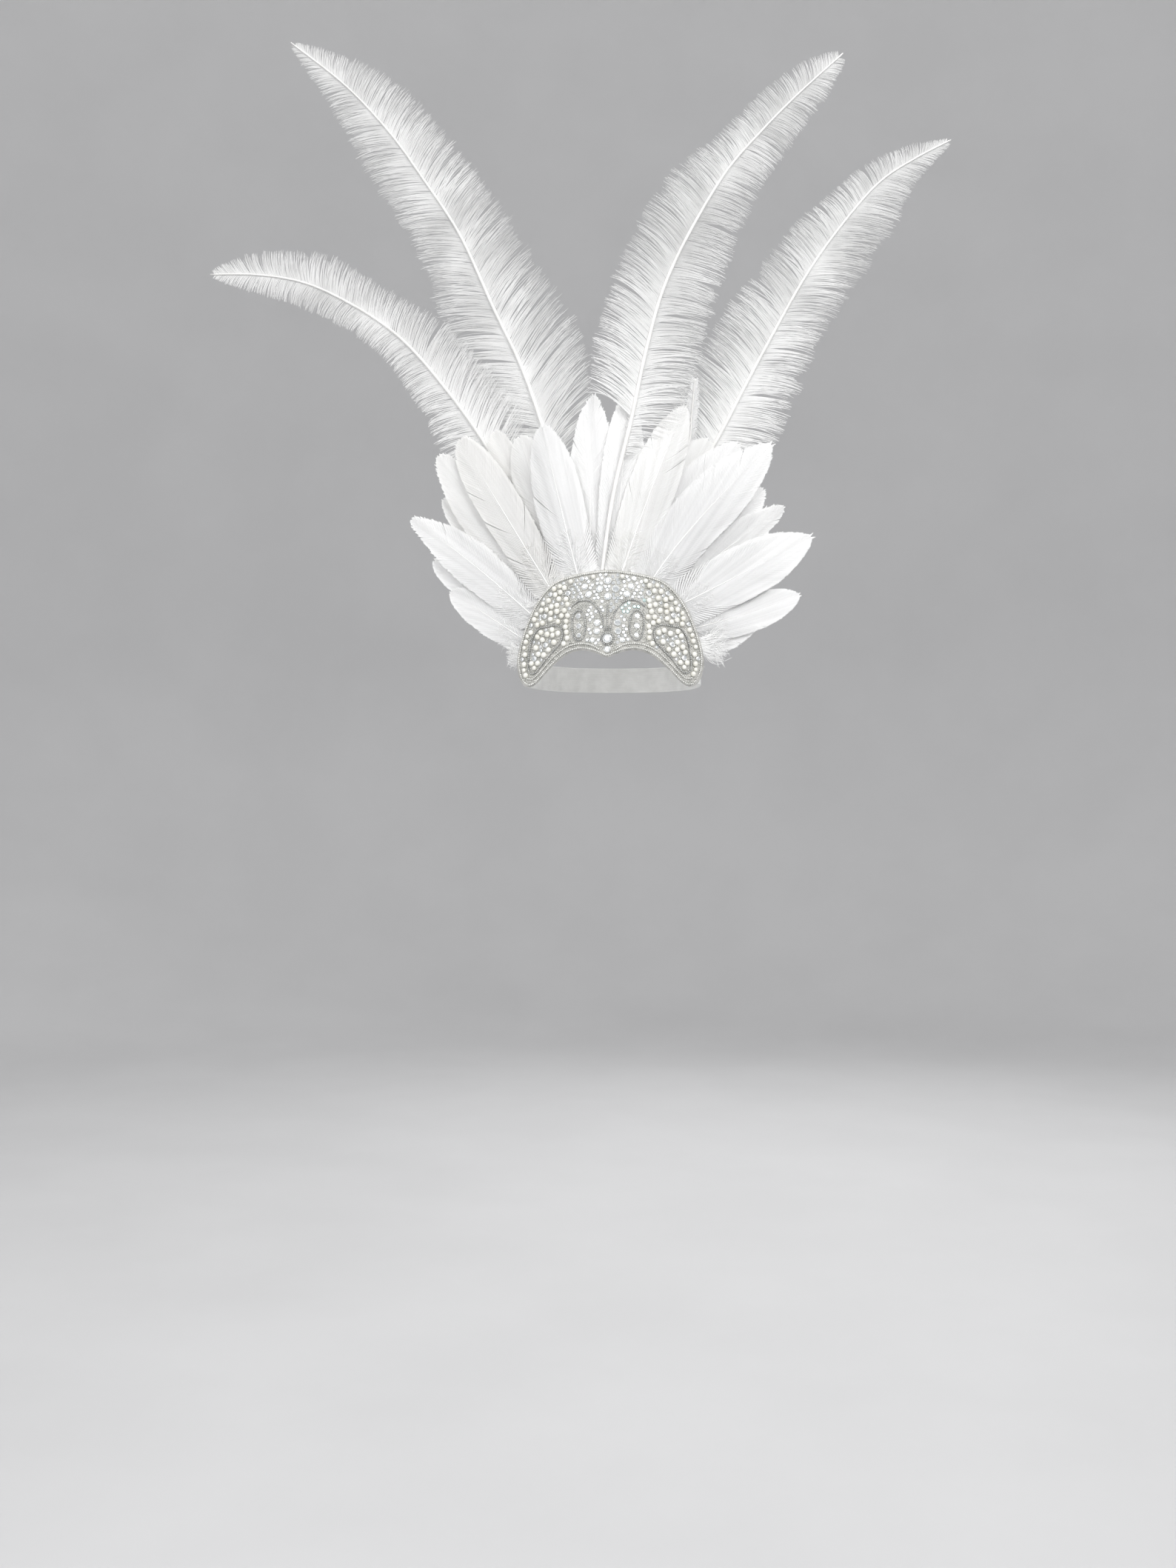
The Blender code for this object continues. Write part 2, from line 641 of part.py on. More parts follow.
# Elastic strap round the back of the head: half its path from above, x and y.
# It starts on the band's back, turns off behind the end lobe and meets its
# mirror half at the back of the head.
strap_start = [(x, on_sheet(x, STRAP_Z, BAND_THICK + 1.25)[1]) for x in (66.0, 69.0, 72.0, 75.0)]
STRAP_HALF = strap_start + [
    (78.2, -60.2),
    (80.8, -55.6),
    (82.8, -49.6),
    (84.0, -42.0),
    (84.5, -32.0),
    (84.0, -14.0),
    (81.6, 8.0),
    (76.6, 32.0),
    (68.0, 55.0),
    (54.4, 75.0),
    (36.0, 89.0),
    (16.0, 95.4),
    (0.0, 96.6),
]
strap_path = [(-x, y) for x, y in STRAP_HALF] + STRAP_HALF[-2::-1]
strap_line = smooth_line(strap_path, 60)
strap_verts = []
for i, (x, y) in enumerate(strap_line):
    a = strap_line[max(i - 1, 0)]
    b = strap_line[min(i + 1, len(strap_line) - 1)]
    size = math.dist(a, b)
    out = (-(b[1] - a[1]) / size, (b[0] - a[0]) / size)
    for wide, thick in ((-0.5, -0.5), (0.5, -0.5), (0.5, 0.5), (-0.5, 0.5)):
        off = thick * STRAP_THICK
        height = STRAP_Z + wide * STRAP_WIDE
        lean = LEAN * (height - STRAP_Z) * ease((-40 - y) / 14)
        strap_verts.append((x + out[0] * off, y + out[1] * off + lean, height))
strap_faces = []
for i in range(len(strap_line) - 1):
    for j in range(4):
        k = (j + 1) % 4
        strap_faces.append((i * 4 + j, i * 4 + k, i * 4 + 4 + k, i * 4 + 4 + j))
strap_faces.append((0, 1, 2, 3))
strap_faces.append(tuple(range(len(strap_verts) - 4, len(strap_verts))))
elastic = material("white elastic", (0.86, 0.86, 0.84), 0.7)
add_mesh("back_strap", strap_verts, strap_faces, elastic)

cutters = bpy.data.collections.new("helpers")
bpy.context.scene.collection.children.link(cutters)
collection.objects.unlink(field)
cutters.objects.link(field)
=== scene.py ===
import math

import bpy
import numpy as np
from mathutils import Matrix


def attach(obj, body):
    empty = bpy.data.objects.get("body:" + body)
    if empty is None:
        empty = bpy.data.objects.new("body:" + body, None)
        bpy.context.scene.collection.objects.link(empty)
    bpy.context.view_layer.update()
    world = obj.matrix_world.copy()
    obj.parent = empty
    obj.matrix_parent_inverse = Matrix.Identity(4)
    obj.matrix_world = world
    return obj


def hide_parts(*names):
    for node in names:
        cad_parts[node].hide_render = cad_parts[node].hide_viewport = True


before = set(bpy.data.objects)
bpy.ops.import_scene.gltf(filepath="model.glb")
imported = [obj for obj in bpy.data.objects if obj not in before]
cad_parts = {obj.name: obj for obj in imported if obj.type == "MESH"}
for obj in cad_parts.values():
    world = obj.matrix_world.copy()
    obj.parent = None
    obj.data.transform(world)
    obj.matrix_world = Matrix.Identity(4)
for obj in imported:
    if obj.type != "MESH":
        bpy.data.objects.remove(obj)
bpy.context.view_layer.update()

MM = 0.001


# Headband plate. The real one is a crescent of stiff felt covered with silver-grey
# net; it is bent round the forehead, and everything else is sewn or glued to it.
BAND_THICK, BAND_STEPS = 2.4, 119
# Band and feathers lie in one bowed sheet: where its middle is and how it leans back,
# how deep and wide the bow is, and how it flattens out towards the sides.
FRONT, LEAN = -101.0, 0.12
REACH, BEND = 56.0, 62.0
BOW_END, SIDE_SLOPE, SIDE_FADE = 85.0, 0.18, 60.0
END_SLOPE = REACH * BOW_END / (BEND ** 2 * math.sqrt(1 + (BOW_END / BEND) ** 2))
# Columns of the half outline: x, upper edge, lower edge, in millimetres.
BAND_EDGE = np.array([
    (0.0, 87.8, 5.4), (3.5, 87.7, 6.6), (8.0, 87.4, 8.6), (14.0, 86.8, 10.9),
    (20.0, 86.1, 12.3), (26.0, 85.2, 12.5), (32.0, 84.3, 11.6), (38.0, 83.1, 9.2),
    (44.0, 81.6, 5.6), (50.0, 79.3, 0.8), (56.0, 75.6, -4.6), (62.0, 69.8, -10.8),
    (67.0, 63.7, -15.8), (71.0, 58.4, -18.8), (75.0, 51.0, -20.0), (79.0, 41.4, -19.4),
    (82.5, 32.0, -17.0), (85.5, 22.6, -12.4), (87.6, 14.0, -6.4), (88.6, 6.0, 0.6)])


def bow_slope(x):
    """How steeply the sheet runs back at x."""
    inner = REACH * x / (BEND ** 2 * np.sqrt(1 + (x / BEND) ** 2))
    fade = np.exp(-np.maximum(np.abs(x) - BOW_END, 0.0) / SIDE_FADE)
    outer = np.sign(x) * (SIDE_SLOPE + (END_SLOPE - SIDE_SLOPE) * fade)
    return np.where(np.abs(x) <= BOW_END, inner, outer)


def bow(x):
    """How far the sheet lies behind its middle at x."""
    near = np.minimum(np.abs(x), BOW_END)
    run = np.maximum(np.abs(x) - BOW_END, 0.0)
    extra = (END_SLOPE - SIDE_SLOPE) * SIDE_FADE * (1 - np.exp(-run / SIDE_FADE))
    return REACH * (np.sqrt(1 + (near / BEND) ** 2) - 1) + SIDE_SLOPE * run + extra


def on_sheet(x, z, behind):
    """Points at x, z of the front view, so many millimetres behind the band's front face."""
    x, z, behind = np.broadcast_arrays(*(np.asarray(v, float) for v in (x, z, behind)))
    lean = np.sqrt(1 + bow_slope(x) ** 2 + LEAN ** 2)
    return np.stack([x, FRONT + bow(x) + LEAN * z + behind * lean, z], axis=-1)


def out_of_sheet(x):
    """The way that faces out of the sheet, towards whoever looks at the wearer."""
    slope = bow_slope(np.asarray(x, float))
    way = np.stack([slope, -np.ones_like(slope), np.full_like(slope, LEAN)], axis=-1)
    return way / np.linalg.norm(way, axis=-1, keepdims=True)


def tube_faces(rows, ring):
    """Faces of a closed tube or bar whose points run ring by ring."""
    faces = [(i * ring + j, i * ring + (j + 1) % ring,
              (i + 1) * ring + (j + 1) % ring, (i + 1) * ring + j)
             for i in range(rows - 1) for j in range(ring)]
    faces.append(tuple(range(ring - 1, -1, -1)))
    faces.append(tuple(range((rows - 1) * ring, rows * ring)))
    return faces


def add_piece(name, verts, faces, finish, smooth=True):
    """A mesh piece, made in millimetres, that rides on the one body."""
    mesh = bpy.data.meshes.new(name)
    mesh.from_pydata((np.asarray(verts) * MM).tolist(), [], faces)
    mesh.materials.append(finish)
    if smooth:
        mesh.shade_smooth()
    piece = bpy.data.objects.new(name, mesh)
    bpy.context.scene.collection.objects.link(piece)
    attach(piece, "root")
    return piece


def new_finish(name, dark, light, rough, clouds, grain=0.0, height=0.0, **sockets):
    """A finish that runs unevenly between two colours and two roughnesses, with a fine relief.

    clouds and grain say how fine the unevenness and the relief are; height is in metres.
    """
    finish = bpy.data.materials.new(name)
    finish.use_nodes = True
    nodes, links = finish.node_tree.nodes, finish.node_tree.links
    shader = nodes["Principled BSDF"]
    for socket, value in sockets.items():
        shader.inputs[socket.replace("_", " ")].default_value = value
    place = nodes.new("ShaderNodeTexCoord")
    cloud = nodes.new("ShaderNodeTexNoise")
    cloud.inputs["Scale"].default_value = clouds
    cloud.inputs["Detail"].default_value = 4.0
    links.new(place.outputs["Object"], cloud.inputs["Vector"])
    ramp = nodes.new("ShaderNodeValToRGB")
    ramp.color_ramp.elements[0].position = 0.35
    ramp.color_ramp.elements[0].color = (*dark, 1.0)
    ramp.color_ramp.elements[1].position = 0.65
    ramp.color_ramp.elements[1].color = (*light, 1.0)
    links.new(cloud.outputs["Fac"], ramp.inputs["Fac"])
    links.new(ramp.outputs["Color"], shader.inputs["Base Color"])
    gloss = nodes.new("ShaderNodeMapRange")
    gloss.inputs["To Min"].default_value = rough[0]
    gloss.inputs["To Max"].default_value = rough[1]
    links.new(cloud.outputs["Fac"], gloss.inputs["Value"])
    links.new(gloss.outputs["Result"], shader.inputs["Roughness"])
    if height:
        fine = nodes.new("ShaderNodeTexNoise")
        fine.inputs["Scale"].default_value = grain
        fine.inputs["Detail"].default_value = 2.0
        relief = nodes.new("ShaderNodeBump")
        relief.inputs["Distance"].default_value = height
        links.new(place.outputs["Object"], fine.inputs["Vector"])
        links.new(fine.outputs["Fac"], relief.inputs["Height"])
        links.new(relief.outputs["Normal"], shader.inputs["Normal"])
    return finish


band_x = np.linspace(-BAND_EDGE[-1, 0], BAND_EDGE[-1, 0], BAND_STEPS)
band_top = np.interp(np.abs(band_x), BAND_EDGE[:, 0], BAND_EDGE[:, 1])
band_low = np.interp(np.abs(band_x), BAND_EDGE[:, 0], BAND_EDGE[:, 2])
# Round the plate's section: the front and back pull in a little at the rim.
BAND_SECTION = [(0.0, 0.5), (0.008, 0.15), (0.03, 0.0), (0.25, 0.0), (0.5, 0.0), (0.75, 0.0),
                (0.97, 0.0), (0.992, 0.15), (1.0, 0.5), (0.992, 0.85), (0.97, 1.0), (0.75, 1.0),
                (0.5, 1.0), (0.25, 1.0), (0.03, 1.0), (0.008, 0.85)]
band_rows = [on_sheet(band_x, band_low + (band_top - band_low) * up, BAND_THICK * through)
             for up, through in BAND_SECTION]
band_verts = np.stack(band_rows, axis=1).reshape(-1, 3)
band_faces = tube_faces(BAND_STEPS, len(BAND_SECTION))
net_finish = new_finish("silver_grey_net", (0.4, 0.4, 0.375), (0.62, 0.61, 0.58), (0.35, 0.65),
                        160.0, 900.0, 0.0002, Sheen_Weight=0.3)
band_plate = add_piece("headband_plate", band_verts, band_faces, net_finish)
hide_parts("crescent_headband")


# Seed beads. Rows of tiny silver-lined glass beads, threaded and sewn down, outline
# the band and draw the ovals, leaves and scrolls; more are scattered on the net.

# How far bead centres stand off the net; then half the pitch and the radius of the
# rim's beads, and of those in all other lines.
STRING_LIFT = 1.2
RIM_PITCH, RIM_BEAD = 0.92, 0.95
LINE_PITCH, LINE_BEAD = 0.88, 0.92
RIM_HALF = [
    (0.0, 85.6), (14.0, 84.8), (28.0, 82.8), (40.0, 80.4), (50.0, 77.0), (59.0, 70.2),
    (67.0, 60.6), (73.4, 49.4), (79.2, 36.0), (83.4, 23.0), (86.2, 10.0), (86.2, 0.4),
    (83.8, -9.6), (79.0, -16.4), (73.4, -17.6), (67.6, -13.8), (61.0, -7.2), (53.4, 0.4),
    (45.6, 7.2), (36.6, 12.4), (26.0, 14.8), (15.0, 13.4), (6.6, 10.2), (0.0, 7.6)]
RIM = RIM_HALF + [(-x, z) for x, z in reversed(RIM_HALF[1:-1])]
LOWER_LINE = [(77.4, -11.8), (72.0, -12.4), (64.6, -6.0), (56.4, 2.6), (47.4, 10.6),
              (37.0, 16.6), (26.0, 18.8), (15.6, 17.4), (8.2, 13.4)]
SIDE_OVAL = [(43.0, 32.0), (43.6, 23.0), (49.0, 15.6), (57.6, 7.0), (64.6, -1.6),
             (70.6, -7.4), (75.6, -5.6), (76.8, 3.0), (75.6, 14.0), (72.8, 26.0),
             (67.0, 34.4), (56.0, 36.6), (47.4, 36.4)]
LEAF = [(33.4, 40.0), (33.0, 31.0), (30.4, 24.0), (26.4, 21.8), (22.2, 25.6), (20.4, 36.0),
        (22.4, 46.0), (27.2, 50.0), (31.8, 47.0)]
SCROLL = [(2.4, 31.0), (4.6, 42.0), (10.2, 52.6), (17.8, 58.8), (27.4, 58.6), (34.0, 54.0)]
STEM = [(0.0, 31.0), (0.0, 38.0), (0.0, 46.0), (0.0, 54.0)]
# A ring of beads round the crystal above the point: middle and radius.
RING_Z, RING_R = 23.0, 5.5
RING = [(RING_R * math.sin(a), RING_Z + RING_R * math.cos(a))
        for a in np.linspace(0, math.tau, 12, endpoint=False)]


def smooth_line(points, steps, closed=False):
    """A smooth line through points, evenly stepped along its length."""
    points = np.asarray(points, float)
    if closed:
        ends = np.vstack([points[-1:], points, points[:2]])
    else:
        ends = np.vstack([points[:1], points, points[-1:]])
    f = np.linspace(0, 1, 24, endpoint=False)[:, None]
    line = []
    for a, b, c, d in zip(ends, ends[1:], ends[2:], ends[3:]):
        line.append(0.5 * (2 * b + (c - a) * f + (2 * a - 5 * b + 4 * c - d) * f ** 2
                           + (3 * b - a - 3 * c + d) * f ** 3))
    line.append(points[:1] if closed else points[-1:])
    line = np.vstack(line)
    run = np.concatenate([[0.0], np.cumsum(np.linalg.norm(np.diff(line, axis=0), axis=1))])
    at = np.linspace(0.0, run[-1], steps)
    return np.stack([np.interp(at, run, line[:, k]) for k in range(line.shape[1])], axis=1)


def line_length(points, closed=False):
    fine = smooth_line(points, 400, closed)
    return float(np.linalg.norm(np.diff(fine, axis=0), axis=1).sum())


def beads(name, centres, radii, finish, around=8, rings=5):
    """Round beads as one piece, each a closed ball."""
    centres = np.asarray(centres, float)
    radii = np.broadcast_to(np.asarray(radii, float), (len(centres),))
    tilt = np.linspace(0, math.pi, rings + 1)[1:-1]
    turn = np.linspace(0, math.tau, around, endpoint=False)
    ball = [(0.0, 0.0, 1.0)]
    ball += [(math.sin(a) * math.cos(b), math.sin(a) * math.sin(b), math.cos(a))
             for a in tilt for b in turn]
    ball.append((0.0, 0.0, -1.0))
    faces = [(0, 1 + k, 1 + (k + 1) % around) for k in range(around)]
    for row in range(len(tilt) - 1):
        for k in range(around):
            a, b = 1 + row * around + k, 1 + row * around + (k + 1) % around
            faces.append((a, a + around, b + around, b))
    last = 1 + (len(tilt) - 1) * around
    bottom = last + around
    faces += [(bottom, last + (k + 1) % around, last + k) for k in range(around)]
    ball = np.array(ball)
    verts = (centres[:, None, :] + ball[None] * radii[:, None, None]).reshape(-1, 3)
    all_faces = [tuple(v + i * len(ball) for v in face)
                 for i in range(len(centres)) for face in faces]
    return add_piece(name, verts, all_faces, finish)


def threaded(points, half_pitch, closed=False):
    """Centres of beads threaded one against the next along a line on the band's face."""
    count = max(int(line_length(points, closed) / (half_pitch * 2.0)), 2)
    line = smooth_line(points, count + 1 if closed else count, closed)
    if closed:
        line = line[:-1]
    return on_sheet(line[:, 0], line[:, 1], -STRING_LIFT)


seed_finish = new_finish("silver_lined_glass", (0.6, 0.6, 0.57), (0.86, 0.86, 0.83), (0.1, 0.35),
                         420.0, Metallic=0.35, Coat_Weight=0.6)
# The beads of the ovals, leaves, scrolls, stem and ring are a darker copy of the same
# silver-lined glass: painted shade, the silver as it looks in shadow, which sets the pattern off
# from the lighter net.
shaded_line_finish = new_finish("painted_shade_silver_beads", (0.34, 0.35, 0.35), (0.64, 0.64, 0.62), (0.15, 0.4),
                         300.0, Metallic=0.75, Coat_Weight=0.5)
rim_beads = beads("rim_bead_row", threaded(RIM, RIM_PITCH, True), RIM_BEAD, seed_finish)
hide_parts("rim_bead_string")
for side, sign in (("left", -1), ("right", 1)):
    for kind, points, closed in (("lower_bead_line", LOWER_LINE, False),
                                 ("side_oval_string", SIDE_OVAL, True),
                                 ("leaf_string", LEAF, True),
                                 ("scroll_string", SCROLL, False)):
        line = [(x * sign, z) for x, z in points]
        row = beads(f"{kind}_beads_{side}", threaded(line, LINE_PITCH, closed), LINE_BEAD,
                    seed_finish if kind == "lower_bead_line" else shaded_line_finish)
        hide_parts(f"{kind}_{side}")
stem_beads = beads("middle_stem_beads", threaded(STEM, LINE_PITCH), LINE_BEAD, shaded_line_finish)
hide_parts("middle_stem_string")
ring_beads = beads("ring_beads", threaded(RING, LINE_PITCH, True), LINE_BEAD, shaded_line_finish)


# Pearls and crystals. Round cream pearls and clear cut stones, most of these in silver
# cups, are sewn one by one through the net into the felt: the main crystals in the
# middle, the rest in the ovals and along the rim.

# Half of the pattern: x, z, diameter, pearl or crystal.
FIELD_HALF = [
    (-13.5, 81.0, 4.4, "pearl"), (-24.0, 79.6, 4.4, "crystal"), (-35.0, 77.6, 4.4, "pearl"),
    (-45.5, 73.8, 4.4, "pearl"), (-54.8, 66.8, 4.6, "crystal"), (-62.2, 58.2, 4.4, "pearl"),
    (-68.6, 48.8, 4.4, "pearl"), (-74.0, 38.8, 4.4, "crystal"), (-77.8, 28.4, 4.4, "pearl"),
    (-81.0, 17.6, 4.2, "pearl"), (-82.8, 6.8, 4.2, "crystal"), (-81.0, -3.8, 4.2, "pearl"),
    (-46.4, 61.8, 5.2, "pearl"), (-53.6, 55.0, 5.2, "pearl"), (-37.4, 66.6, 5.2, "crystal"),
    (-60.2, 46.4, 5.2, "crystal"), (-48.2, 50.2, 5.4, "pearl"), (-54.6, 43.0, 5.0, "pearl"),
    (-47.0, 29.4, 5.4, "pearl"), (-50.8, 21.0, 5.6, "pearl"), (-57.6, 29.0, 5.6, "pearl"),
    (-59.0, 19.0, 5.4, "crystal"), (-60.8, 9.6, 5.6, "pearl"), (-67.6, 27.2, 5.2, "pearl"),
    (-69.0, 16.8, 5.4, "pearl"), (-70.0, 6.6, 5.4, "crystal"), (-70.4, -2.2, 4.6, "pearl"),
    (-26.8, 35.2, 5.0, "crystal"), (-27.2, 44.6, 5.0, "crystal"), (-26.6, 26.6, 4.4, "crystal"),
    (-13.8, 22.0, 4.8, "crystal")]
# Main crystals down the middle: CAD node, x, z, diameter.
MAIN_STONES = [
    ("point_crystal", 0.0, 13.0, 6.0), ("ring_crystal", 0.0, 23.0, 8.0),
    ("upper_crystal_left", -7.4, 69.6, 6.2), ("upper_crystal_right", 7.4, 69.6, 6.2),
    ("top_crystal", 0.0, 77.2, 6.4), ("middle_crystal", 0.0, 62.4, 6.6),
    ("cluster_crystal_1_left", -21.4, 72.2, 5.8), ("cluster_crystal_1_right", 21.4, 72.2, 5.8),
    ("cluster_crystal_2_left", -17.6, 64.8, 6.0), ("cluster_crystal_2_right", 17.6, 64.8, 6.0)]


def stone_axes(x):
    """The ways along the band, up it and out of it, where a stone sits."""
    out = out_of_sheet(x)
    flat = 1 / np.sqrt(1 + bow_slope(x) ** 2)
    along = np.array([flat, bow_slope(x) * flat, 0.0])
    return along, np.cross(along, out) * -1.0, out


def turned(name, rows, profile, sides, finish, smooth):
    """Closed turned or faceted shapes on the band's face, one for each row of x, z, size.

    profile holds radius and height, as parts of the size.
    """
    verts, faces = [], []
    for x, z, size in rows:
        along, up, out = stone_axes(x)
        centre = on_sheet(x, z, 0.0)
        first = len(verts)
        for n, (radius, height) in enumerate(profile):
            half_step = 0.0 if smooth else 0.5 * (n % 2)
            for k in range(sides):
                angle = math.tau * (k + half_step) / sides
                verts.append(centre + out * height * size + radius * size * (
                    along * math.cos(angle) + up * math.sin(angle)))
        for n in range(len(profile) - 1):
            for k in range(sides):
                a, b = first + n * sides + k, first + n * sides + (k + 1) % sides
                c, d = a + sides, b + sides
                if smooth:
                    faces.append((a, b, d, c))
                elif n % 2 == 0:
                    faces += [(a, b, c), (b, d, c)]
                else:
                    faces += [(a, b, d), (a, d, c)]
        faces.append(tuple(range(first + sides - 1, first - 1, -1)))
        top = first + (len(profile) - 1) * sides
        faces.append(tuple(range(top, top + sides)))
    return add_piece(name, verts, faces, finish, smooth)


# A brilliant: girdle, two rows of crown facets and the table.
CROWN = [(0.36, -0.02), (0.5, 0.12), (0.5, 0.17), (0.4, 0.29), (0.27, 0.36)]
CUP = [(0.46, -0.03), (0.56, 0.0), (0.58, 0.1), (0.56, 0.2), (0.515, 0.2), (0.505, 0.1)]
crystal_finish = new_finish("clear_cut_crystal", (0.76, 0.8, 0.82), (0.95, 0.96, 0.97),
                            (0.02, 0.08), 240.0, Metallic=0.62, Coat_Weight=1.0,
                            Specular_IOR_Level=0.9)
aqua_finish = new_finish("pale_aqua_crystal", (0.5, 0.67, 0.66), (0.72, 0.86, 0.85), (0.02, 0.08),
                         240.0, Metallic=0.45, Coat_Weight=1.0, Specular_IOR_Level=0.9)
cup_finish = new_finish("silver_setting", (0.55, 0.55, 0.53), (0.8, 0.8, 0.78), (0.15, 0.4),
                        300.0, Metallic=0.9)
pearl_finish = new_finish("cream_pearl", (0.8, 0.785, 0.71), (0.93, 0.925, 0.875), (0.16, 0.34),
                          110.0, 1400.0, 0.00003, Coat_Weight=0.7, Coat_Roughness=0.12,
                          Sheen_Weight=0.2)
field = [(x * sign, z, size, kind) for x, z, size, kind in FIELD_HALF for sign in (1, -1)]
# Pairs of clear stones beside the stem.
STEM_STONES = [(-9.8, 30.0, 5.6), (9.8, 30.0, 5.6), (-9.4, 38.0, 6.0), (9.4, 38.0, 6.0)]
small_stones = [(x, z, size) for x, z, size, kind in field if kind == "crystal"] + STEM_STONES
pearls = [(x, z, size) for x, z, size, kind in field if kind == "pearl"]
turned("small_crystals", small_stones, CROWN, 10, crystal_finish, False)
turned("small_crystal_cups", small_stones, CUP, 14, cup_finish, True)
main_rows = [(x, z, size) for _, x, z, size in MAIN_STONES]
main_piece = turned("main_crystals", main_rows, CROWN, 14, crystal_finish, False)
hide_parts(*[name for name, *_ in MAIN_STONES])
turned("main_crystal_cups", main_rows, CUP, 18, cup_finish, True)

# What these leave free is filled by hand with smaller pearls, crystals and seed beads.
# The room that a cup takes, as part of its stone's size, and half a bead line's width.
CUP_ROOM, LINE_ROOM = 0.58, 0.95
rng = np.random.default_rng(7)
taken = [(x, z, size * 0.5) for x, z, size, _ in field]
taken += [(x, z, size * CUP_ROOM) for x, z, size in STEM_STONES]
taken += [(x, z, size * CUP_ROOM) for _, x, z, size in MAIN_STONES]
for sign in (-1, 1):
    for points, closed in ((LOWER_LINE, False), (SIDE_OVAL, True), (LEAF, True), (SCROLL, False)):
        for x, z in smooth_line(points, int(line_length(points, closed)), closed):
            taken.append((x * sign, z, LINE_ROOM))
taken += [(x, z, LINE_ROOM) for x, z in smooth_line(STEM, 24)]
taken += [(x, z, LINE_ROOM) for x, z in smooth_line(RING, 36, True)]
taken += [(x, z, LINE_ROOM) for x, z in smooth_line(RIM, 480, True)]
# The oblong that the filling covers, its inner limit at the sides, and how close its
# rows lie, as part of the step along them.
FILL_LOW, FILL_HIGH, FILL_SIDE, FILL_LIMIT, ROW_STEP = -19.0, 87.0, 87.0, 86.8, 0.87


def fill(step, radius, margin, wanted, wobble):
    """Places in rows for more beads, in the part that is wanted, where there is room."""
    found = []
    columns = np.arange(-FILL_SIDE, FILL_SIDE + 0.1, step)
    for row, height in enumerate(np.arange(FILL_LOW, FILL_HIGH, step * ROW_STEP)):
        for across in columns + (step * 0.5 if row % 2 else 0.0):
            x, z = across + rng.uniform(-wobble, wobble), height + rng.uniform(-wobble, wobble)
            top = np.interp(abs(x), BAND_EDGE[:, 0], BAND_EDGE[:, 1]) - margin
            low = np.interp(abs(x), BAND_EDGE[:, 0], BAND_EDGE[:, 2]) + margin
            if abs(x) > FILL_LIMIT or not low < z < top or not wanted(x, z):
                continue
            near = np.array(taken)
            if np.any(np.hypot(near[:, 0] - x, near[:, 1] - z) < near[:, 2] + radius):
                continue
            taken.append((x, z, radius))
            found.append((x, z, radius * 2))
    return found


def in_side_fields(x, z):
    """The two thirds of the band outside the scrolls, where the pearls lie close together."""
    return abs(x) > 36.0 + 0.12 * max(40.0 - z, 0.0)


def in_top_cluster(x, z):
    """The upper middle, between the scrolls, where small crystals lie close together."""
    return abs(x) < 34.0 and z > 59.0 + 0.1 * abs(x)


def in_middle(x, z):
    """Under the scrolls, where small crystals are set among the seed beads."""
    return abs(x) < 20.0 and z > 18.0


def in_aqua_leaf(x, z):
    """A leaf of pale aqua crystals right of the middle."""
    return ((x - 24.0) / 14.5) ** 2 + ((z - 54.0 - 0.12 * (x - 24.0)) / 6.5) ** 2 < 1.0


# Radii; pearls' height as part of their size; seed beads' height and range of radii.
SMALL_PEARL, SMALL_CRYSTAL, SEED = 2.55, 1.7, 0.72
PEARL_LIFT, SEED_LIFT, SEED_RADII = 0.3, 0.5, (0.62, 0.84)
all_pearls = pearls + fill(step=2.0, radius=SMALL_PEARL, margin=3.6,
                           wanted=in_side_fields, wobble=0.4)
cluster = fill(step=1.8, radius=SMALL_CRYSTAL, margin=3.0, wanted=in_top_cluster, wobble=0.3)
cluster += fill(step=2.0, radius=SMALL_CRYSTAL, margin=2.6, wanted=in_side_fields, wobble=0.3)
leaf_stones = fill(step=1.8, radius=SMALL_CRYSTAL, margin=3.0, wanted=in_aqua_leaf, wobble=0.3)
cluster += fill(step=3.4, radius=SMALL_CRYSTAL, margin=3.0, wanted=in_middle, wobble=0.7)
turned("cluster_crystals", cluster, CROWN, 8, crystal_finish, False)
turned("aqua_leaf_crystals", leaf_stones, CROWN, 8, aqua_finish, False)
pearl_spots = np.array([on_sheet(x, z, -PEARL_LIFT * size) for x, z, size in all_pearls])
pearl_piece = beads("cream_pearls", pearl_spots, [size * 0.5 for *_, size in all_pearls],
                    pearl_finish, 14, 8)
seeds = fill(step=1.5, radius=SEED, margin=1.4, wanted=lambda x, z: True, wobble=0.15)
seed_spots = np.array([on_sheet(x, z, -SEED_LIFT) for x, z, _ in seeds])
net_beads = beads("net_seed_beads", seed_spots, rng.uniform(*SEED_RADII, len(seeds)),
                  seed_finish, 6, 4)


# Back strap. White ribbed elastic, 25 mm wide, its ends stitched behind the band's
# lower lobes; it goes round the back of the head above the ears.
STRAP_WIDE, STRAP_THICK, STRAP_Z, STRAP_BEHIND = 25.0, 1.6, -4.0, 1.25
# Ribs: how many, points across each, and the half thickness between and on them.
STRAP_RIBS, RIB_POINTS, RIB_BASE, RIB_RISE = 12, 4, 0.36, 0.12
# The strap leans with the band where it is stitched, and is upright past this y.
LEAN_END, LEAN_RUN = -40.0, 14.0
strap_start = [(x, float(on_sheet(x, STRAP_Z, BAND_THICK + STRAP_BEHIND)[1]))
               for x in (66.0, 69.0, 72.0, 75.0)]
STRAP_HALF = strap_start + [
    (78.2, -60.2), (80.8, -55.6), (82.8, -49.6), (84.0, -42.0), (84.5, -32.0), (84.0, -14.0),
    (81.6, 8.0), (76.6, 32.0), (68.0, 55.0), (54.4, 75.0), (36.0, 89.0), (16.0, 95.4),
    (0.0, 96.6)]


def ease(u):
    """From 0 to 1 as u does, gently at both ends."""
    u = np.clip(u, 0.0, 1.0)
    return u * u * (3 - 2 * u)


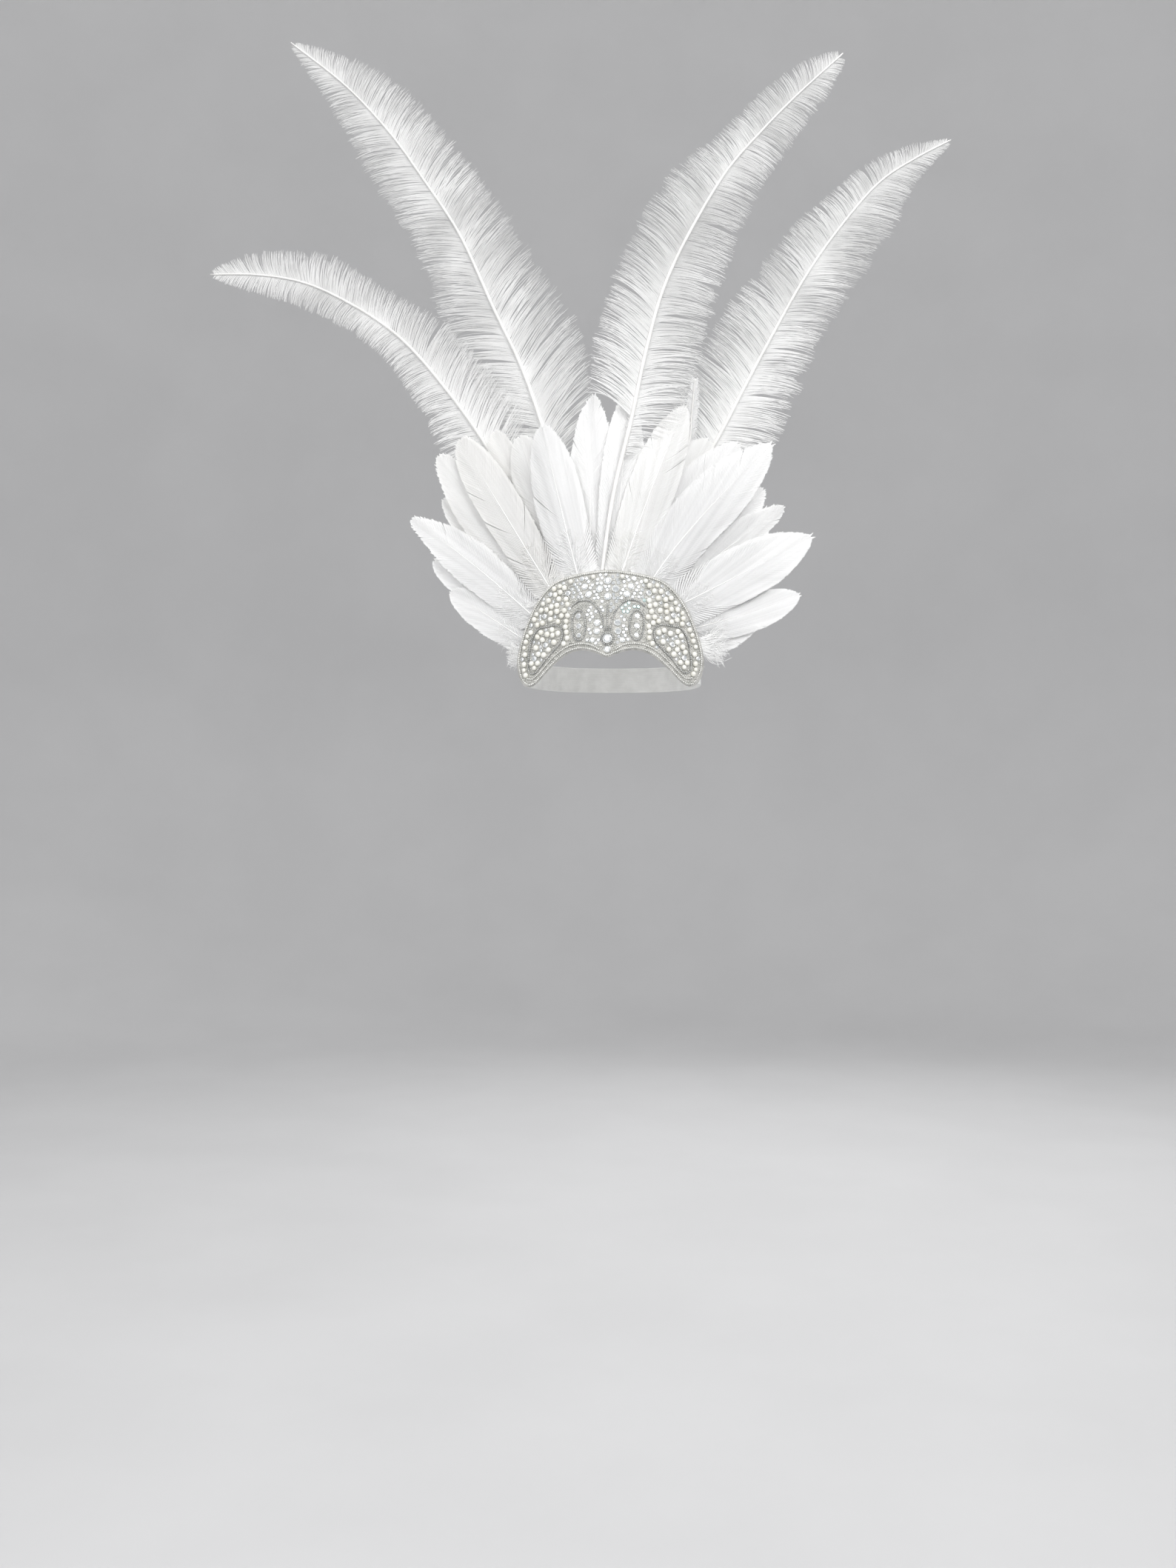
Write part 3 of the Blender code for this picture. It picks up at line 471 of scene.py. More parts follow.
strap_line = smooth_line([(-x, y) for x, y in STRAP_HALF] + STRAP_HALF[-2::-1], 241)
ahead = np.gradient(strap_line, axis=0)
ahead /= np.linalg.norm(ahead, axis=1, keepdims=True)
strap_out = np.stack([-ahead[:, 1], ahead[:, 0]], axis=1)
rib_places = np.linspace(-0.5, 0.5, STRAP_RIBS * RIB_POINTS + 1)
rib_turn = np.pi * np.arange(len(rib_places)) / RIB_POINTS
rib_half = STRAP_THICK * (RIB_BASE + RIB_RISE * np.abs(np.sin(rib_turn)))
profile = [(v, -t) for v, t in zip(rib_places, rib_half)]
profile += [(v, t) for v, t in zip(rib_places[::-1], rib_half[::-1])]
strap_verts = []
for (x, y), (ox, oy) in zip(strap_line, strap_out):
    bend = ease((LEAN_END - y) / LEAN_RUN)
    for v, t in profile:
        height = v * STRAP_WIDE
        strap_verts.append((x + ox * t, y + oy * t + LEAN * height * bend, STRAP_Z + height))
strap_faces = tube_faces(len(strap_line), len(profile))
elastic_finish = new_finish("white_elastic", (0.84, 0.84, 0.82), (0.93, 0.93, 0.91), (0.55, 0.8),
                            90.0, 1400.0, 0.00012, Sheen_Weight=0.25)
strap = add_piece("elastic_back_strap", strap_verts, strap_faces, elastic_finish)
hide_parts("back_strap")


# Goose feathers. White satin feathers, each a quill with two flat vanes of barbs,
# glued side by side behind the band's upper edge and overlapping like shingles.

# Quill: radius, seat behind the plate, bare end, and where its first barb stands.
QUILL_R, QUILL_SEAT, GOOSE_BARE, GOOSE_ROOT = 1.2, 1.75, 4.0, 2.0
# Layers: depth of the first, from one to the next, and how they open towards the tips.
GOOSE_FIRST, GOOSE_PITCH, GOOSE_OPEN = 4.9, 2.9, 0.016
# All feathers curl back by this much, over this run.
CURL, CURL_RUN = 14.0, 150.0
# Quill end, middle and tip in the front view, width, layer, how ragged, colour (the last colour
# is painted shade), tilt.
GOOSE = [
    ("goose_feather_left_1", (-52, 12), (-86, 29), (-120, 46), 30, 2, 0.5, 0, 0.02),
    ("goose_feather_left_2", (-62, 13), (-115, 48), (-161, 79), 34, 0, 0.5, 0, -0.03),
    ("goose_feather_left_3", (-68, 35), (-126, 77), (-181, 112), 38, 1, 0.4, 0, 0.03),
    ("goose_feather_left_4", (-68, 43), (-139, 105), (-206, 155), 40, 0, 1.0, 0, -0.02),
    ("goose_feather_left_5", (-65, 52), (-121, 118), (-174, 175), 34, 2, 0.6, 1, 0.03),
    ("goose_feather_left_6", (-60, 60), (-123, 144), (-179, 220), 44, 1, 0.7, 1, -0.03),
    ("goose_feather_left_7", (-52, 67), (-110, 159), (-155, 233), 42, 0, 0.4, 2, 0.02),
    ("goose_feather_left_8", (-44, 71), (-88, 161), (-121, 241), 42, 2, 0.6, 2, -0.03),
    ("goose_feather_left_9", (-35, 74), (-68, 159), (-93, 230), 42, 1, 0.4, 1, 0.03),
    ("goose_feather_left_10", (-27, 76), (-49, 159), (-68, 236), 46, 0, 0.5, 0, -0.02),
    ("goose_feather_middle_1", (-17, 78), (-19, 167), (-17, 262), 42, 2, 0.4, 0, 0.02),
    ("goose_feather_middle_2", (2, 78), (11, 169), (15, 260), 40, 1, 0.6, 0, -0.02),
    ("goose_feather_middle_3", (10, 77), (38, 164), (70, 254), 42, 0, 0.4, 1, 0.03),
    ("goose_feather_right_9", (18, 75), (53, 154), (93, 226), 44, 2, 0.4, 1, -0.03),
    ("goose_feather_right_8", (27, 72), (69, 150), (122, 224), 46, 1, 0.5, 0, 0.02),
    ("goose_feather_right_7", (34, 69), (84, 143), (155, 224), 50, 0, 0.2, 0, -0.03),
    ("goose_feather_right_6", (41, 65), (94, 123), (147, 180), 42, 2, 0.5, 0, 0.02),
    ("goose_feather_right_5", (48, 59), (105, 112), (166, 162), 40, 1, 1.0, 3, -0.02),
    ("goose_feather_right_4", (55, 51), (121, 90), (193, 132), 50, 0, 0.3, 0, 0.02),
    ("goose_feather_right_3", (60, 42), (115, 77), (172, 112), 40, 2, 0.6, 0, -0.02),
    ("goose_feather_right_2", (63, 32), (122, 51), (181, 74), 36, 1, 0.3, 0, 0.02),
    ("goose_feather_right_1", (65, 23), (101, 31), (140, 43), 30, 2, 0.6, 0, -0.02),
]
# Part of the length, part of the width.
GOOSE_VANE = np.array([(0.0, 0.62), (0.08, 0.74), (0.25, 0.9), (0.5, 0.99), (0.68, 1.0),
                       (0.8, 0.93), (0.88, 0.79), (0.94, 0.6), (0.98, 0.36), (1.0, 0.1)])
# Colours of the vanes, dark and light: the first is plain white; the second and third are partly
# a warmer ivory tone and partly painted shade; the last is a greyer copy, painted shade for a
# feather that lies in shade.
GOOSE_TONES_AND_SHADE = [
    ((0.86, 0.86, 0.855), (0.98, 0.98, 0.975)), ((0.86, 0.855, 0.84), (0.97, 0.97, 0.955)),
    ((0.85, 0.845, 0.825), (0.96, 0.955, 0.935)), ((0.78, 0.78, 0.775), (0.9, 0.9, 0.89))]
STREAK_REACH = 0.12


def streak(finish):
    """Draw a finish's clouds out into streaks that run from the band towards the tips: partly
    uneven tone, and partly painted shade of the vanes' soft folds.
    """
    nodes, links = finish.node_tree.nodes, finish.node_tree.links
    place, cloud = nodes["Texture Coordinate"], nodes["Noise Texture"]
    parts = nodes.new("ShaderNodeSeparateXYZ")
    turn = nodes.new("ShaderNodeMath")
    turn.operation = "ARCTAN2"
    far = nodes.new("ShaderNodeVectorMath")
    far.operation = "LENGTH"
    reach = nodes.new("ShaderNodeMath")
    reach.operation = "MULTIPLY"
    reach.inputs[1].default_value = STREAK_REACH
    drawn = nodes.new("ShaderNodeCombineXYZ")
    links.new(place.outputs["Object"], parts.inputs[0])
    links.new(place.outputs["Object"], far.inputs[0])
    links.new(parts.outputs["X"], turn.inputs[0])
    links.new(parts.outputs["Z"], turn.inputs[1])
    links.new(far.outputs["Value"], reach.inputs[0])
    links.new(turn.outputs[0], drawn.inputs["X"])
    links.new(reach.outputs[0], drawn.inputs["Y"])
    links.new(drawn.outputs[0], cloud.inputs["Vector"])
    return finish


# The vanes' finishes, one for each colour; the last is a painted-shade copy of the white satin.
goose_finishes = [
    streak(new_finish(f"white_goose_satin_tone_shade_{n + 1}", dark, light, (0.4, 0.65), 34.0 + 2 * n, 700.0,
                      0.00006, Sheen_Weight=0.2, Sheen_Roughness=0.4, Subsurface_Weight=0.35,
                      Subsurface_Scale=0.003, Subsurface_Radius=(1.0, 1.0, 0.95)))
    for n, (dark, light) in enumerate(GOOSE_TONES_AND_SHADE)]
quill_finish = new_finish("feather_quill", (0.84, 0.835, 0.82), (0.93, 0.93, 0.92), (0.4, 0.65),
                          120.0, 500.0, 0.00005, Coat_Weight=0.1)


def curl(run):
    """How far a feather has curled back after a run from the band."""
    return CURL * (1 - np.exp(-(np.asarray(run) / CURL_RUN) ** 2))


def strands(line, across, out, wide, thick):
    """Closed three-sided blades: lines of points, each with its width and thickness."""
    n, k = line.shape[:2]
    wide = wide[..., None]
    thick = thick[..., None]
    verts = np.stack([line - across * wide * 0.5, line + across * wide * 0.5,
                      line + out * thick], axis=2).reshape(-1, 3)
    first = (np.arange(n) * k * 3)[:, None, None]
    step = (np.arange(k - 1) * 3)[None, :, None]
    corner = np.arange(3)[None, None, :]
    a = first + step + corner
    b = first + step + (corner + 1) % 3
    quads = np.stack([a, b, b + 3, a + 3], axis=-1).reshape(-1, 4)
    base = (np.arange(n) * k * 3)[:, None]
    start = base + np.array([[2, 1, 0]])
    end = base + (k - 1) * 3 + np.array([[0, 1, 2]])
    caps = np.concatenate([start, end]).reshape(-1, 3)
    ahead = line[:, 1] - line[:, 0]
    if np.mean(np.einsum("ij,ij->i", np.cross(across[:, 0], out[:, 0]), ahead)) < 0:
        quads = quads[:, ::-1]
        caps = caps[:, ::-1]
    return verts, quads, caps


def add_blades(name, groups, finish):
    """One piece of all blades in the groups."""
    verts, faces, count = [], [], 0
    for v, quads, caps in groups:
        verts.append(v)
        faces += (quads + count).tolist()
        faces += (caps + count).tolist()
        count += len(v)
    return add_piece(name, np.concatenate(verts), faces, finish, smooth=False)


def quill(centres, radii, out_ways, sides=8):
    """A closed round quill through the centres."""
    ahead = np.gradient(centres, axis=0)
    ahead /= np.linalg.norm(ahead, axis=1, keepdims=True)
    side = np.cross(ahead, out_ways)
    side /= np.linalg.norm(side, axis=1, keepdims=True)
    front = np.cross(side, ahead)
    angle = np.linspace(0, math.tau, sides, endpoint=False)
    ring = (np.cos(angle)[None, :, None] * side[:, None] + np.sin(angle)[None, :, None]
            * front[:, None]) * np.asarray(radii)[:, None, None]
    verts = (centres[:, None] + ring).reshape(-1, 3)
    return verts, tube_faces(len(centres), sides)


def barb_length(roots, slant, parts, widths, length):
    """Lengths of barbs rooted at parts of the shaft, so that they end on the vane's edge."""
    ends = np.linspace(0.0, 1.0, 600)
    edge = np.interp(ends, parts, widths)
    starts = ends - edge / np.tan(np.interp(ends, roots, slant)) / length
    starts = np.maximum.accumulate(starts) + ends * 1e-6
    return np.interp(roots, starts, edge) / np.sin(slant)


def points_at(parts, t, line):
    """Points of a line at parts of its length."""
    return np.stack([np.interp(parts, t, line[:, c]) for c in (0, 1)], axis=1)


def place_barbs(path, way, t, roots, size, bend, sign):
    """Places along each barb in the front view, and its way along and off the shaft."""
    f = np.linspace(0, 1, bend.shape[1])[None, :]
    root, ahead = points_at(roots, t, path), points_at(roots, t, way)
    side = np.stack([-ahead[:, 1], ahead[:, 0]], axis=1) * sign
    along = size[:, None] * f * np.cos(bend)
    off = size[:, None] * f * np.sin(bend)
    spot = root[:, None] + ahead[:, None] * along[..., None] + side[:, None] * off[..., None]
    return spot, along, off


def lay_on_sheet(spot, depth, wide, thick):
    """Blades along the barbs, laid flat at their depths behind the band's front."""
    line = on_sheet(spot[..., 0], spot[..., 1], depth)
    out = out_of_sheet(spot[..., 0])
    step = np.gradient(line, axis=1)
    step /= np.linalg.norm(step, axis=2, keepdims=True)
    across = np.cross(step, out)
    across /= np.linalg.norm(across, axis=2, keepdims=True)
    return strands(line, across, out, wide, thick)


def goose_depth(layer, run):
    """How deep a feather lies: its quill's end on the felt, the rest out in its layer."""
    rise = ease((run - 1.0) / 9.5)
    layer_depth = GOOSE_FIRST + layer * (GOOSE_PITCH + GOOSE_OPEN * run)
    return BAND_THICK + QUILL_SEAT + (layer_depth - QUILL_SEAT) * rise + curl(run)


# Barbs: angle to the quill, how much wider it is low down and over what run, pitch,
# overlap, thickness, the last one's place, and the vane's half width.
GOOSE_BARB, GOOSE_SPREAD, SPREAD_RUN = math.radians(33), math.radians(34), 24.0
GOOSE_STEP, GOOSE_OVERLAP, GOOSE_THICK, GOOSE_LAST, GOOSE_HALF = 1.5, 1.5, 0.34, 0.99, 0.53
# Down on the quill: angle, pitch, how far up it goes, and lengths.
DOWN_BARB, DOWN_STEP, DOWN_RUN, DOWN_LONG = math.radians(42), 0.65, 50.0, (14.0, 26.0)
for name, base, middle, tip, width, layer, ragged, tone_shade, tilt in GOOSE:
    rng = np.random.default_rng(sum(map(ord, name)))
    t = np.linspace(0, 1, 200)
    u = t[:, None]
    path = ((1 - u) * (1 - 2 * u) * np.array(base) + 4 * u * (1 - u) * np.array(middle)
            + u * (2 * u - 1) * np.array(tip))
    length = math.dist(base, tip)
    bare = GOOSE_BARE / length
    way = np.gradient(path, axis=0)
    way /= np.linalg.norm(way, axis=1, keepdims=True)
    groups = []
    for sign in (1, -1):
        f = np.linspace(0, 1, 6)[None, :]
        roots = np.arange(GOOSE_ROOT, length * GOOSE_LAST, GOOSE_STEP) / length
        n = len(roots)
        # Barbs hold together in clumps, with a slit between one clump and the next.
        clump = np.cumsum(rng.random(n) < 0.03 + 0.05 * ragged)
        gap = rng.uniform(-1, 1, clump.max() + 1)[clump]
        slant = GOOSE_BARB * (1.0 - 0.25 * roots ** 3) * (1 + 0.06 * gap)
        slant = slant + GOOSE_SPREAD * (1 - ease(roots * length / SPREAD_RUN))
        # The more ragged a feather, the more its tip is worn to a point.
        worn = 1 - 0.4 * ragged * ease((GOOSE_VANE[:, 0] - 0.5) / 0.45)
        size = barb_length(roots, slant, bare + (1 - bare) * GOOSE_VANE[:, 0],
                           GOOSE_VANE[:, 1] * worn * width * GOOSE_HALF, length)
        fray = (0.005 + 0.015 * ragged) * (1 + 3 * ease((roots - 0.7) / 0.3))
        size = size * (1 + 0.06 * ragged * gap + rng.normal(0, 1, n) * fray)
        # Barbs bow towards the tip, cup the vane, twist it a little and lie in soft waves.
        bend = slant[:, None] * (1.16 - 0.16 * f)
        spot, along, off = place_barbs(path, way, t, roots, size, bend, sign)
        part = np.clip(off / (width * 0.5), 0, 1)
        depth = goose_depth(layer, roots[:, None] * length + 0.35 * along)
        depth = depth + 0.6 * part ** 2 - 0.2 * part + 0.35 * gap[:, None] * f ** 2
        depth = depth + sign * tilt * off + 0.1 * np.sin(np.arange(n) * 2.4)[:, None] * f
        depth = depth + 0.4 * part * np.sin(roots[:, None] * length / 8 + tone_shade + sign)
        wide = GOOSE_STEP * GOOSE_OVERLAP * np.sin(slant)[:, None] * (1.25 - 0.25 * f)
        wide = wide * np.where(f > 0.9, 0.55, 1.0)
        thick = np.full_like(wide, GOOSE_THICK) * (1 - 0.5 * f)
        groups.append(lay_on_sheet(spot, depth, wide, thick))
        # Loose down at the lower end of the quill, which closes the fan above the band.
        roots = np.arange(GOOSE_ROOT + 2.0, DOWN_RUN, DOWN_STEP) / length
        n = len(roots)
        size = rng.uniform(*DOWN_LONG, n) * np.sin(math.pi * (0.2 + 0.75 * np.arange(n) / n))
        wave = rng.normal(0, 0.3, n)[:, None] * np.sin(3 * f + rng.uniform(0, 3, n)[:, None])
        bend = DOWN_BARB + rng.normal(0, 0.16, n)[:, None] + wave * f
        spot, *_ = place_barbs(path, way, t, roots, size, bend, sign)
        depth = goose_depth(layer, roots * length)[:, None]
        depth = depth + rng.uniform(-1.8, 0.6, n)[:, None] * f
        wide = 0.75 * (1.1 - f) * np.ones((n, 1)) + 0.1
        groups.append(lay_on_sheet(spot, depth, wide, wide * 0.4))
    vane = add_blades(name + "_vane", groups, goose_finishes[tone_shade])
    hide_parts(name)
    steps = np.linspace(0, 0.985, 30)
    centre = points_at(steps, t, path)
    spots = on_sheet(centre[:, 0], centre[:, 1], goose_depth(layer, steps * length) - 0.1)
    quill_radii = QUILL_R * (0.66 - 0.6 * steps)
    shaft = add_piece(name + "_quill", *quill(spots, quill_radii, out_of_sheet(centre[:, 0])),
                      quill_finish)


# Ostrich plumes. Long bleached ostrich feathers: a pale shaft with thousands of
# loose soft barbs that part into locks. Their quills are glued behind the goose fan;
# only the tall right one stands in front of it.

# Shaft from the band to the tip, seat, opening, nod, the barbs' angles to the shaft on the
# left and on the right, low down and near the tip, in degrees, and the vane's rows: part of
# the length, width left and width right of the shaft.
PLUMES = [
    ("ostrich_plume_far_left",
     [(-24, 46), (-42, 80), (-88, 156), (-138, 240), (-183, 302), (-226, 351), (-274, 388),
      (-333, 420), (-390, 434), (-447, 438)], 16.5, 0.05, 22,
     (56, 80), (52, 64),
     [(0.22, 34, 40), (0.4, 38, 46), (0.5, 32, 43), (0.6, 26, 38), (0.66, 25, 30),
      (0.8, 26, 34), (0.88, 23, 29), (0.94, 16, 21), (0.98, 7, 10), (1.0, 1, 1)]),
    ("ostrich_plume_tall_left",
     [(-10, 48), (-22, 84), (-44, 160), (-73, 247), (-97, 312), (-127, 375), (-166, 460),
      (-207, 525), (-248, 584), (-300, 643), (-366, 700)], 22.0, 0.05, 22,
     (56, 52), (57, 63),
     [(0.18, 40, 44), (0.34, 52, 62), (0.5, 50, 54), (0.62, 44, 46), (0.8, 38, 41),
      (0.87, 29, 35), (0.94, 15, 18), (0.98, 6, 7), (1.0, 1, 1)]),
    ("ostrich_plume_tall_right",
     [(-8, 60), (-6, 84), (4, 160), (20, 234), (33, 302), (49, 366), (75, 430), (109, 495),
      (143, 540), (182, 584), (230, 631)], 1.75, 0.0, 14,
     (56, 72), (64, 72),
     [(0.22, 3, 38), (0.285, 4, 45), (0.3, 43, 46), (0.4, 46, 49), (0.55, 43, 45),
      (0.68, 38, 38), (0.76, 26, 34), (0.86, 25, 28), (0.94, 20, 19), (0.98, 11, 10),
      (1.0, 2, 2)]),
    ("ostrich_plume_right",
     [(12, 46), (21, 80), (60, 155), (101, 231), (129, 289), (155, 341), (189, 405),
      (223, 457), (266, 510), (306, 539), (346, 561)], 20.0, 0.05, 22,
     (64, 68), (63, 54),
     [(0.22, 44, 42), (0.4, 52, 49), (0.5, 52, 44), (0.6, 44, 41), (0.72, 36, 45),
      (0.8, 27, 41), (0.88, 21, 31), (0.94, 14, 16), (0.98, 6, 7), (1.0, 1, 1)]),
    ("narrow_quill_feather",
     [(2, 56), (12, 80), (48, 148), (72, 215), (76, 251), (79, 290)], 16.6, 0.03, 0,
     (56, 45), (56, 45),
     [(0.5, 5, 5), (0.9, 6, 6), (0.97, 4, 4), (1.0, 3, 3)]),
]
# A vane with less than this to each side is a narrow one.
NARROW = 10
# Barbs stand in two sheets, one behind the other: pitch in each. Then the last one's
# place, how often a lock begins, how far they close at the tip, width and thickness.
SHEET_STEPS = (1.15, 1.35)
PLUME_LAST, LOCK_CHANCE, TIP_CLOSING, PLUME_WIDE, PLUME_THICK = 0.985, 0.12, 0.4, 1.1, 0.36
# Shafts: radius, the narrow one's radius, and how far they stand in front of the barbs.
SHAFT_R, NARROW_SHAFT_R, SHAFT_AHEAD = 1.65, 1.2, 0.9
plume_finish = new_finish("white_ostrich_barbs", (0.6, 0.6, 0.595), (0.75, 0.75, 0.745),
                          (0.5, 0.75), 22.0, 900.0, 0.00005, Sheen_Weight=0.25,
                          Sheen_Roughness=0.4)
shaft_finish = new_finish("plume_shaft", (0.8, 0.795, 0.775), (0.9, 0.895, 0.88), (0.3, 0.5),
                          60.0, 500.0, 0.00005, Coat_Weight=0.15)
# Painted light: the plumes' barbs are painted whiter where they come out of the fan, fading out
# upwards: heights in metres, and colour.
PAINTED_LIGHT_FULL_BELOW, PAINTED_LIGHT_GONE_ABOVE, PAINTED_LIGHT_WHITE = 0.2, 0.42, (0.84, 0.84, 0.835, 1.0)


def paint_light_low(finish):
    """Paint light over a finish low down: the whitest colour, fading out upwards."""
    nodes, links = finish.node_tree.nodes, finish.node_tree.links
    parts = nodes.new("ShaderNodeSeparateXYZ")
    low = nodes.new("ShaderNodeMapRange")
    low.inputs["From Min"].default_value = PAINTED_LIGHT_GONE_ABOVE
    low.inputs["From Max"].default_value = PAINTED_LIGHT_FULL_BELOW
    blend = nodes.new("ShaderNodeMixRGB")
    blend.inputs["Color2"].default_value = PAINTED_LIGHT_WHITE
    links.new(nodes["Texture Coordinate"].outputs["Object"], parts.inputs[0])
    links.new(parts.outputs["Z"], low.inputs["Value"])
    links.new(low.outputs["Result"], blend.inputs["Fac"])
    links.new(nodes["Color Ramp"].outputs["Color"], blend.inputs["Color1"])
    links.new(blend.outputs["Color"], nodes["Principled BSDF"].inputs["Base Color"])


paint_light_low(plume_finish)


def plume_depth(seat, opening, nod, part, run):
    """How deep a plume lies: the quill's end on the felt, the tip nodding forward."""
    rise = ease((run - 4.0) / 34.0)
    at_band = BAND_THICK + QUILL_SEAT
    return at_band + (seat - QUILL_SEAT + opening * run) * rise + curl(run) - nod * part ** 3


for name, points, seat, opening, nod, left_angles, right_angles, vane in PLUMES:
    rng = np.random.default_rng(sum(map(ord, name)))
    t = np.linspace(0, 1, 400)
    path = smooth_line(points, len(t))
    length = line_length(points)
    way = np.gradient(path, axis=0)
    way /= np.linalg.norm(way, axis=1, keepdims=True)
    vane = np.array(vane, float)
    first = vane[0, 0]
    narrow = vane[:, 1].max() < NARROW
    groups = []
    for sign, column, (low_angle, high_angle) in ((1, 1, left_angles), (-1, 2, right_angles)):
        for sheet, spacing in enumerate(SHEET_STEPS):
            roots = np.arange(first * length, PLUME_LAST * length, spacing) / length
            roots = roots + rng.normal(0, 0.0006, len(roots))
            n = len(roots)
            u = np.clip((roots - first) / (PLUME_LAST - first), 0, 1)
            clump = np.cumsum(rng.random(n) < LOCK_CHANCE)
            lean = rng.uniform(-1, 1, clump.max() + 1)[clump]
            lift = rng.uniform(-1, 1, clump.max() + 1)[clump]
            # Where each barb stands in its lock, from -0.5 to 0.5.
            begin = np.searchsorted(clump, np.arange(clump.max() + 1))
            count = np.bincount(clump)
            place = (np.arange(n) - begin[clump]) / np.maximum(count[clump] - 1, 1) - 0.5
            # Barbs stand out most at the lowest end, and close up towards the tip.
            slant = np.radians(low_angle + (high_angle - low_angle) * ease(u / 0.8))
            slant = slant * (1 - TIP_CLOSING * ease((u - 0.8) / 0.2))
            slant = slant + 0.16 * (1 - ease(u / 0.12))
            size = barb_length(roots, slant, vane[:, 0], vane[:, column], length)
            size = size * (1 + 0.035 * lean + rng.normal(0, 0.025, n)) * (1 - 0.1 * sheet)
            # A few barbs are broken off, and many of the lowest are short.
            size = size * np.where(rng.random(n) < 0.05, rng.uniform(0.7, 0.92, n), 1.0)
            sparse = rng.random(n) < 0.75 * (1 - ease(u / 0.16))
            size = size * np.where(sparse, rng.uniform(0.2, 0.7, n), 1.0)
            size = size * (0.5 + 0.5 * ease(u / 0.1))
            # Barbs of one lock lean together at their ends; a few locks part deeply.
            slant = slant + 0.03 * lean + 0.06 * lean ** 5 + place * 0.1
            slant = slant + rng.normal(0, 0.018, n)
            f = np.linspace(0, 1, 8)[None, :]
            droop = rng.normal(0, 0.04, n)[:, None]
            bend = slant[:, None] * (0.88 + 0.22 * f) + droop * f ** 2
            spot, *_ = place_barbs(path, way, t, roots, size, bend, sign)
            spread = 0.3 if narrow else 1.0
            depth = plume_depth(seat, opening, nod, roots, roots * length)[:, None] + 0.3
            depth = depth + spread * ((sheet - 0.3) * 1.6 * f + 0.9 * lift[:, None] * f ** 1.5)
            depth = depth + spread * rng.normal(0, 0.45, n)[:, None] * f ** 2
            wide = (PLUME_WIDE - 0.75 * f ** 2) * rng.uniform(0.6, 1.15, n)[:, None]
            thick = np.broadcast_to(PLUME_THICK * (1 - 0.6 * f), wide.shape)
            groups.append(lay_on_sheet(spot, depth, wide, thick))
    barbs = add_blades(name + "_barbs", groups, goose_finishes[0] if narrow else plume_finish)
    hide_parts(name)
    steps = np.linspace(0, 0.995, 70)
    centre = points_at(steps, t, path)
    depths = plume_depth(seat, opening, nod, steps, steps * length)
    spots = on_sheet(centre[:, 0], centre[:, 1], depths - SHAFT_AHEAD * ease(steps / 0.1))
    shaft_radii = (NARROW_SHAFT_R if narrow else SHAFT_R) * (1 - 0.7 * steps)
    shaft_radii = shaft_radii * (1 + 0.5 * ease(steps / 0.2))
    shaft = add_piece(name + "_shaft", *quill(spots, shaft_radii, out_of_sheet(centre[:, 0])),
                      shaft_finish)


# Down tufts. Short white fluff that peeps out below the lowest feathers, tied in
# behind the band's side edges.
down_finish = new_finish("white_down", (0.9, 0.9, 0.89), (0.96, 0.96, 0.955), (0.65, 0.9), 60.0,
                         900.0, 0.00005, Sheen_Weight=0.4)
# Middle of the roots, side, length, number of strands.
DOWN = [("down_tuft_left", -84.0, 13.0, -1, 20.0, 260),
        ("down_tuft_right", 84.0, 20.0, 1, 34.0, 300)]
# Behind the plate, and how wide a strand is.
DOWN_BEHIND, STRAND_WIDE = 1.2, 0.8
for name, x, z, sign, reach, count in DOWN:
    rng = np.random.default_rng(len(name))
    f = np.linspace(0, 1, 7)[None, :]
    heading = rng.uniform(-0.62, 0.42, count)
    size = reach * rng.uniform(0.45, 1.0, count) * (1 - 0.35 * np.abs(heading))
    wave = rng.normal(0, 0.35, count)[:, None]
    bend = heading[:, None] + wave * f * np.sin(3.0 * f + rng.uniform(0, 3, count)[:, None])
    root_x = x - sign * rng.uniform(0, 3.0, count)
    root_z = z + rng.uniform(-6.0, 6.0, count)
    spot = np.stack([root_x[:, None] + sign * size[:, None] * f * np.cos(bend),
                     root_z[:, None] + size[:, None] * f * np.sin(bend)], axis=-1)
    depth = BAND_THICK + DOWN_BEHIND + rng.uniform(0, 1.6, count)[:, None]
    depth = depth + rng.uniform(0.2, 3.4, count)[:, None] * f
    wide = STRAND_WIDE * (1 - 0.7 * f) * np.ones((count, 1))
    fluff = add_blades(name + "_strands", [lay_on_sheet(spot, depth, wide, wide * 0.5)],
                       down_finish)
    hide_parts(name)


# Studio: a plain pale floor that curves up into a round wall, soft lights, and the
# camera at the photograph's place, level and a little to one side of the band's middle.
FLOOR_Z, FLOOR_R, CURVE_R, WALL_TOP, FLOOR_SIDES = -0.9, 3.4, 1.3, 4.4, 96
floor_line = [(FLOOR_R * part, FLOOR_Z) for part in (0.02, 0.5, 1.0)]
floor_line += [(FLOOR_R + CURVE_R * math.sin(a), FLOOR_Z + CURVE_R * (1 - math.cos(a)))
               for a in np.linspace(0.08, math.pi / 2, 20)]
floor_line.append((FLOOR_R + CURVE_R, WALL_TOP))
rows = len(floor_line)
floor_faces = [(k * rows + n, (k + 1) % FLOOR_SIDES * rows + n,
                (k + 1) % FLOOR_SIDES * rows + n + 1, k * rows + n + 1)
               for k in range(FLOOR_SIDES) for n in range(rows - 1)]
floor_faces.append(tuple(k * rows for k in range(FLOOR_SIDES - 1, -1, -1)))
floor_mesh = bpy.data.meshes.new("studio_floor")
floor_mesh.from_pydata([(r * math.cos(math.tau * k / FLOOR_SIDES),
                         r * math.sin(math.tau * k / FLOOR_SIDES), z)
                        for k in range(FLOOR_SIDES) for r, z in floor_line], [], floor_faces)
floor_mesh.shade_smooth()
floor_mesh.materials.append(new_finish("pale_paper", (0.57, 0.57, 0.575), (0.59, 0.59, 0.595),
                                       (0.85, 0.95), 3.0))
studio_floor = bpy.data.objects.new("studio_floor", floor_mesh)
bpy.context.scene.collection.objects.link(studio_floor)

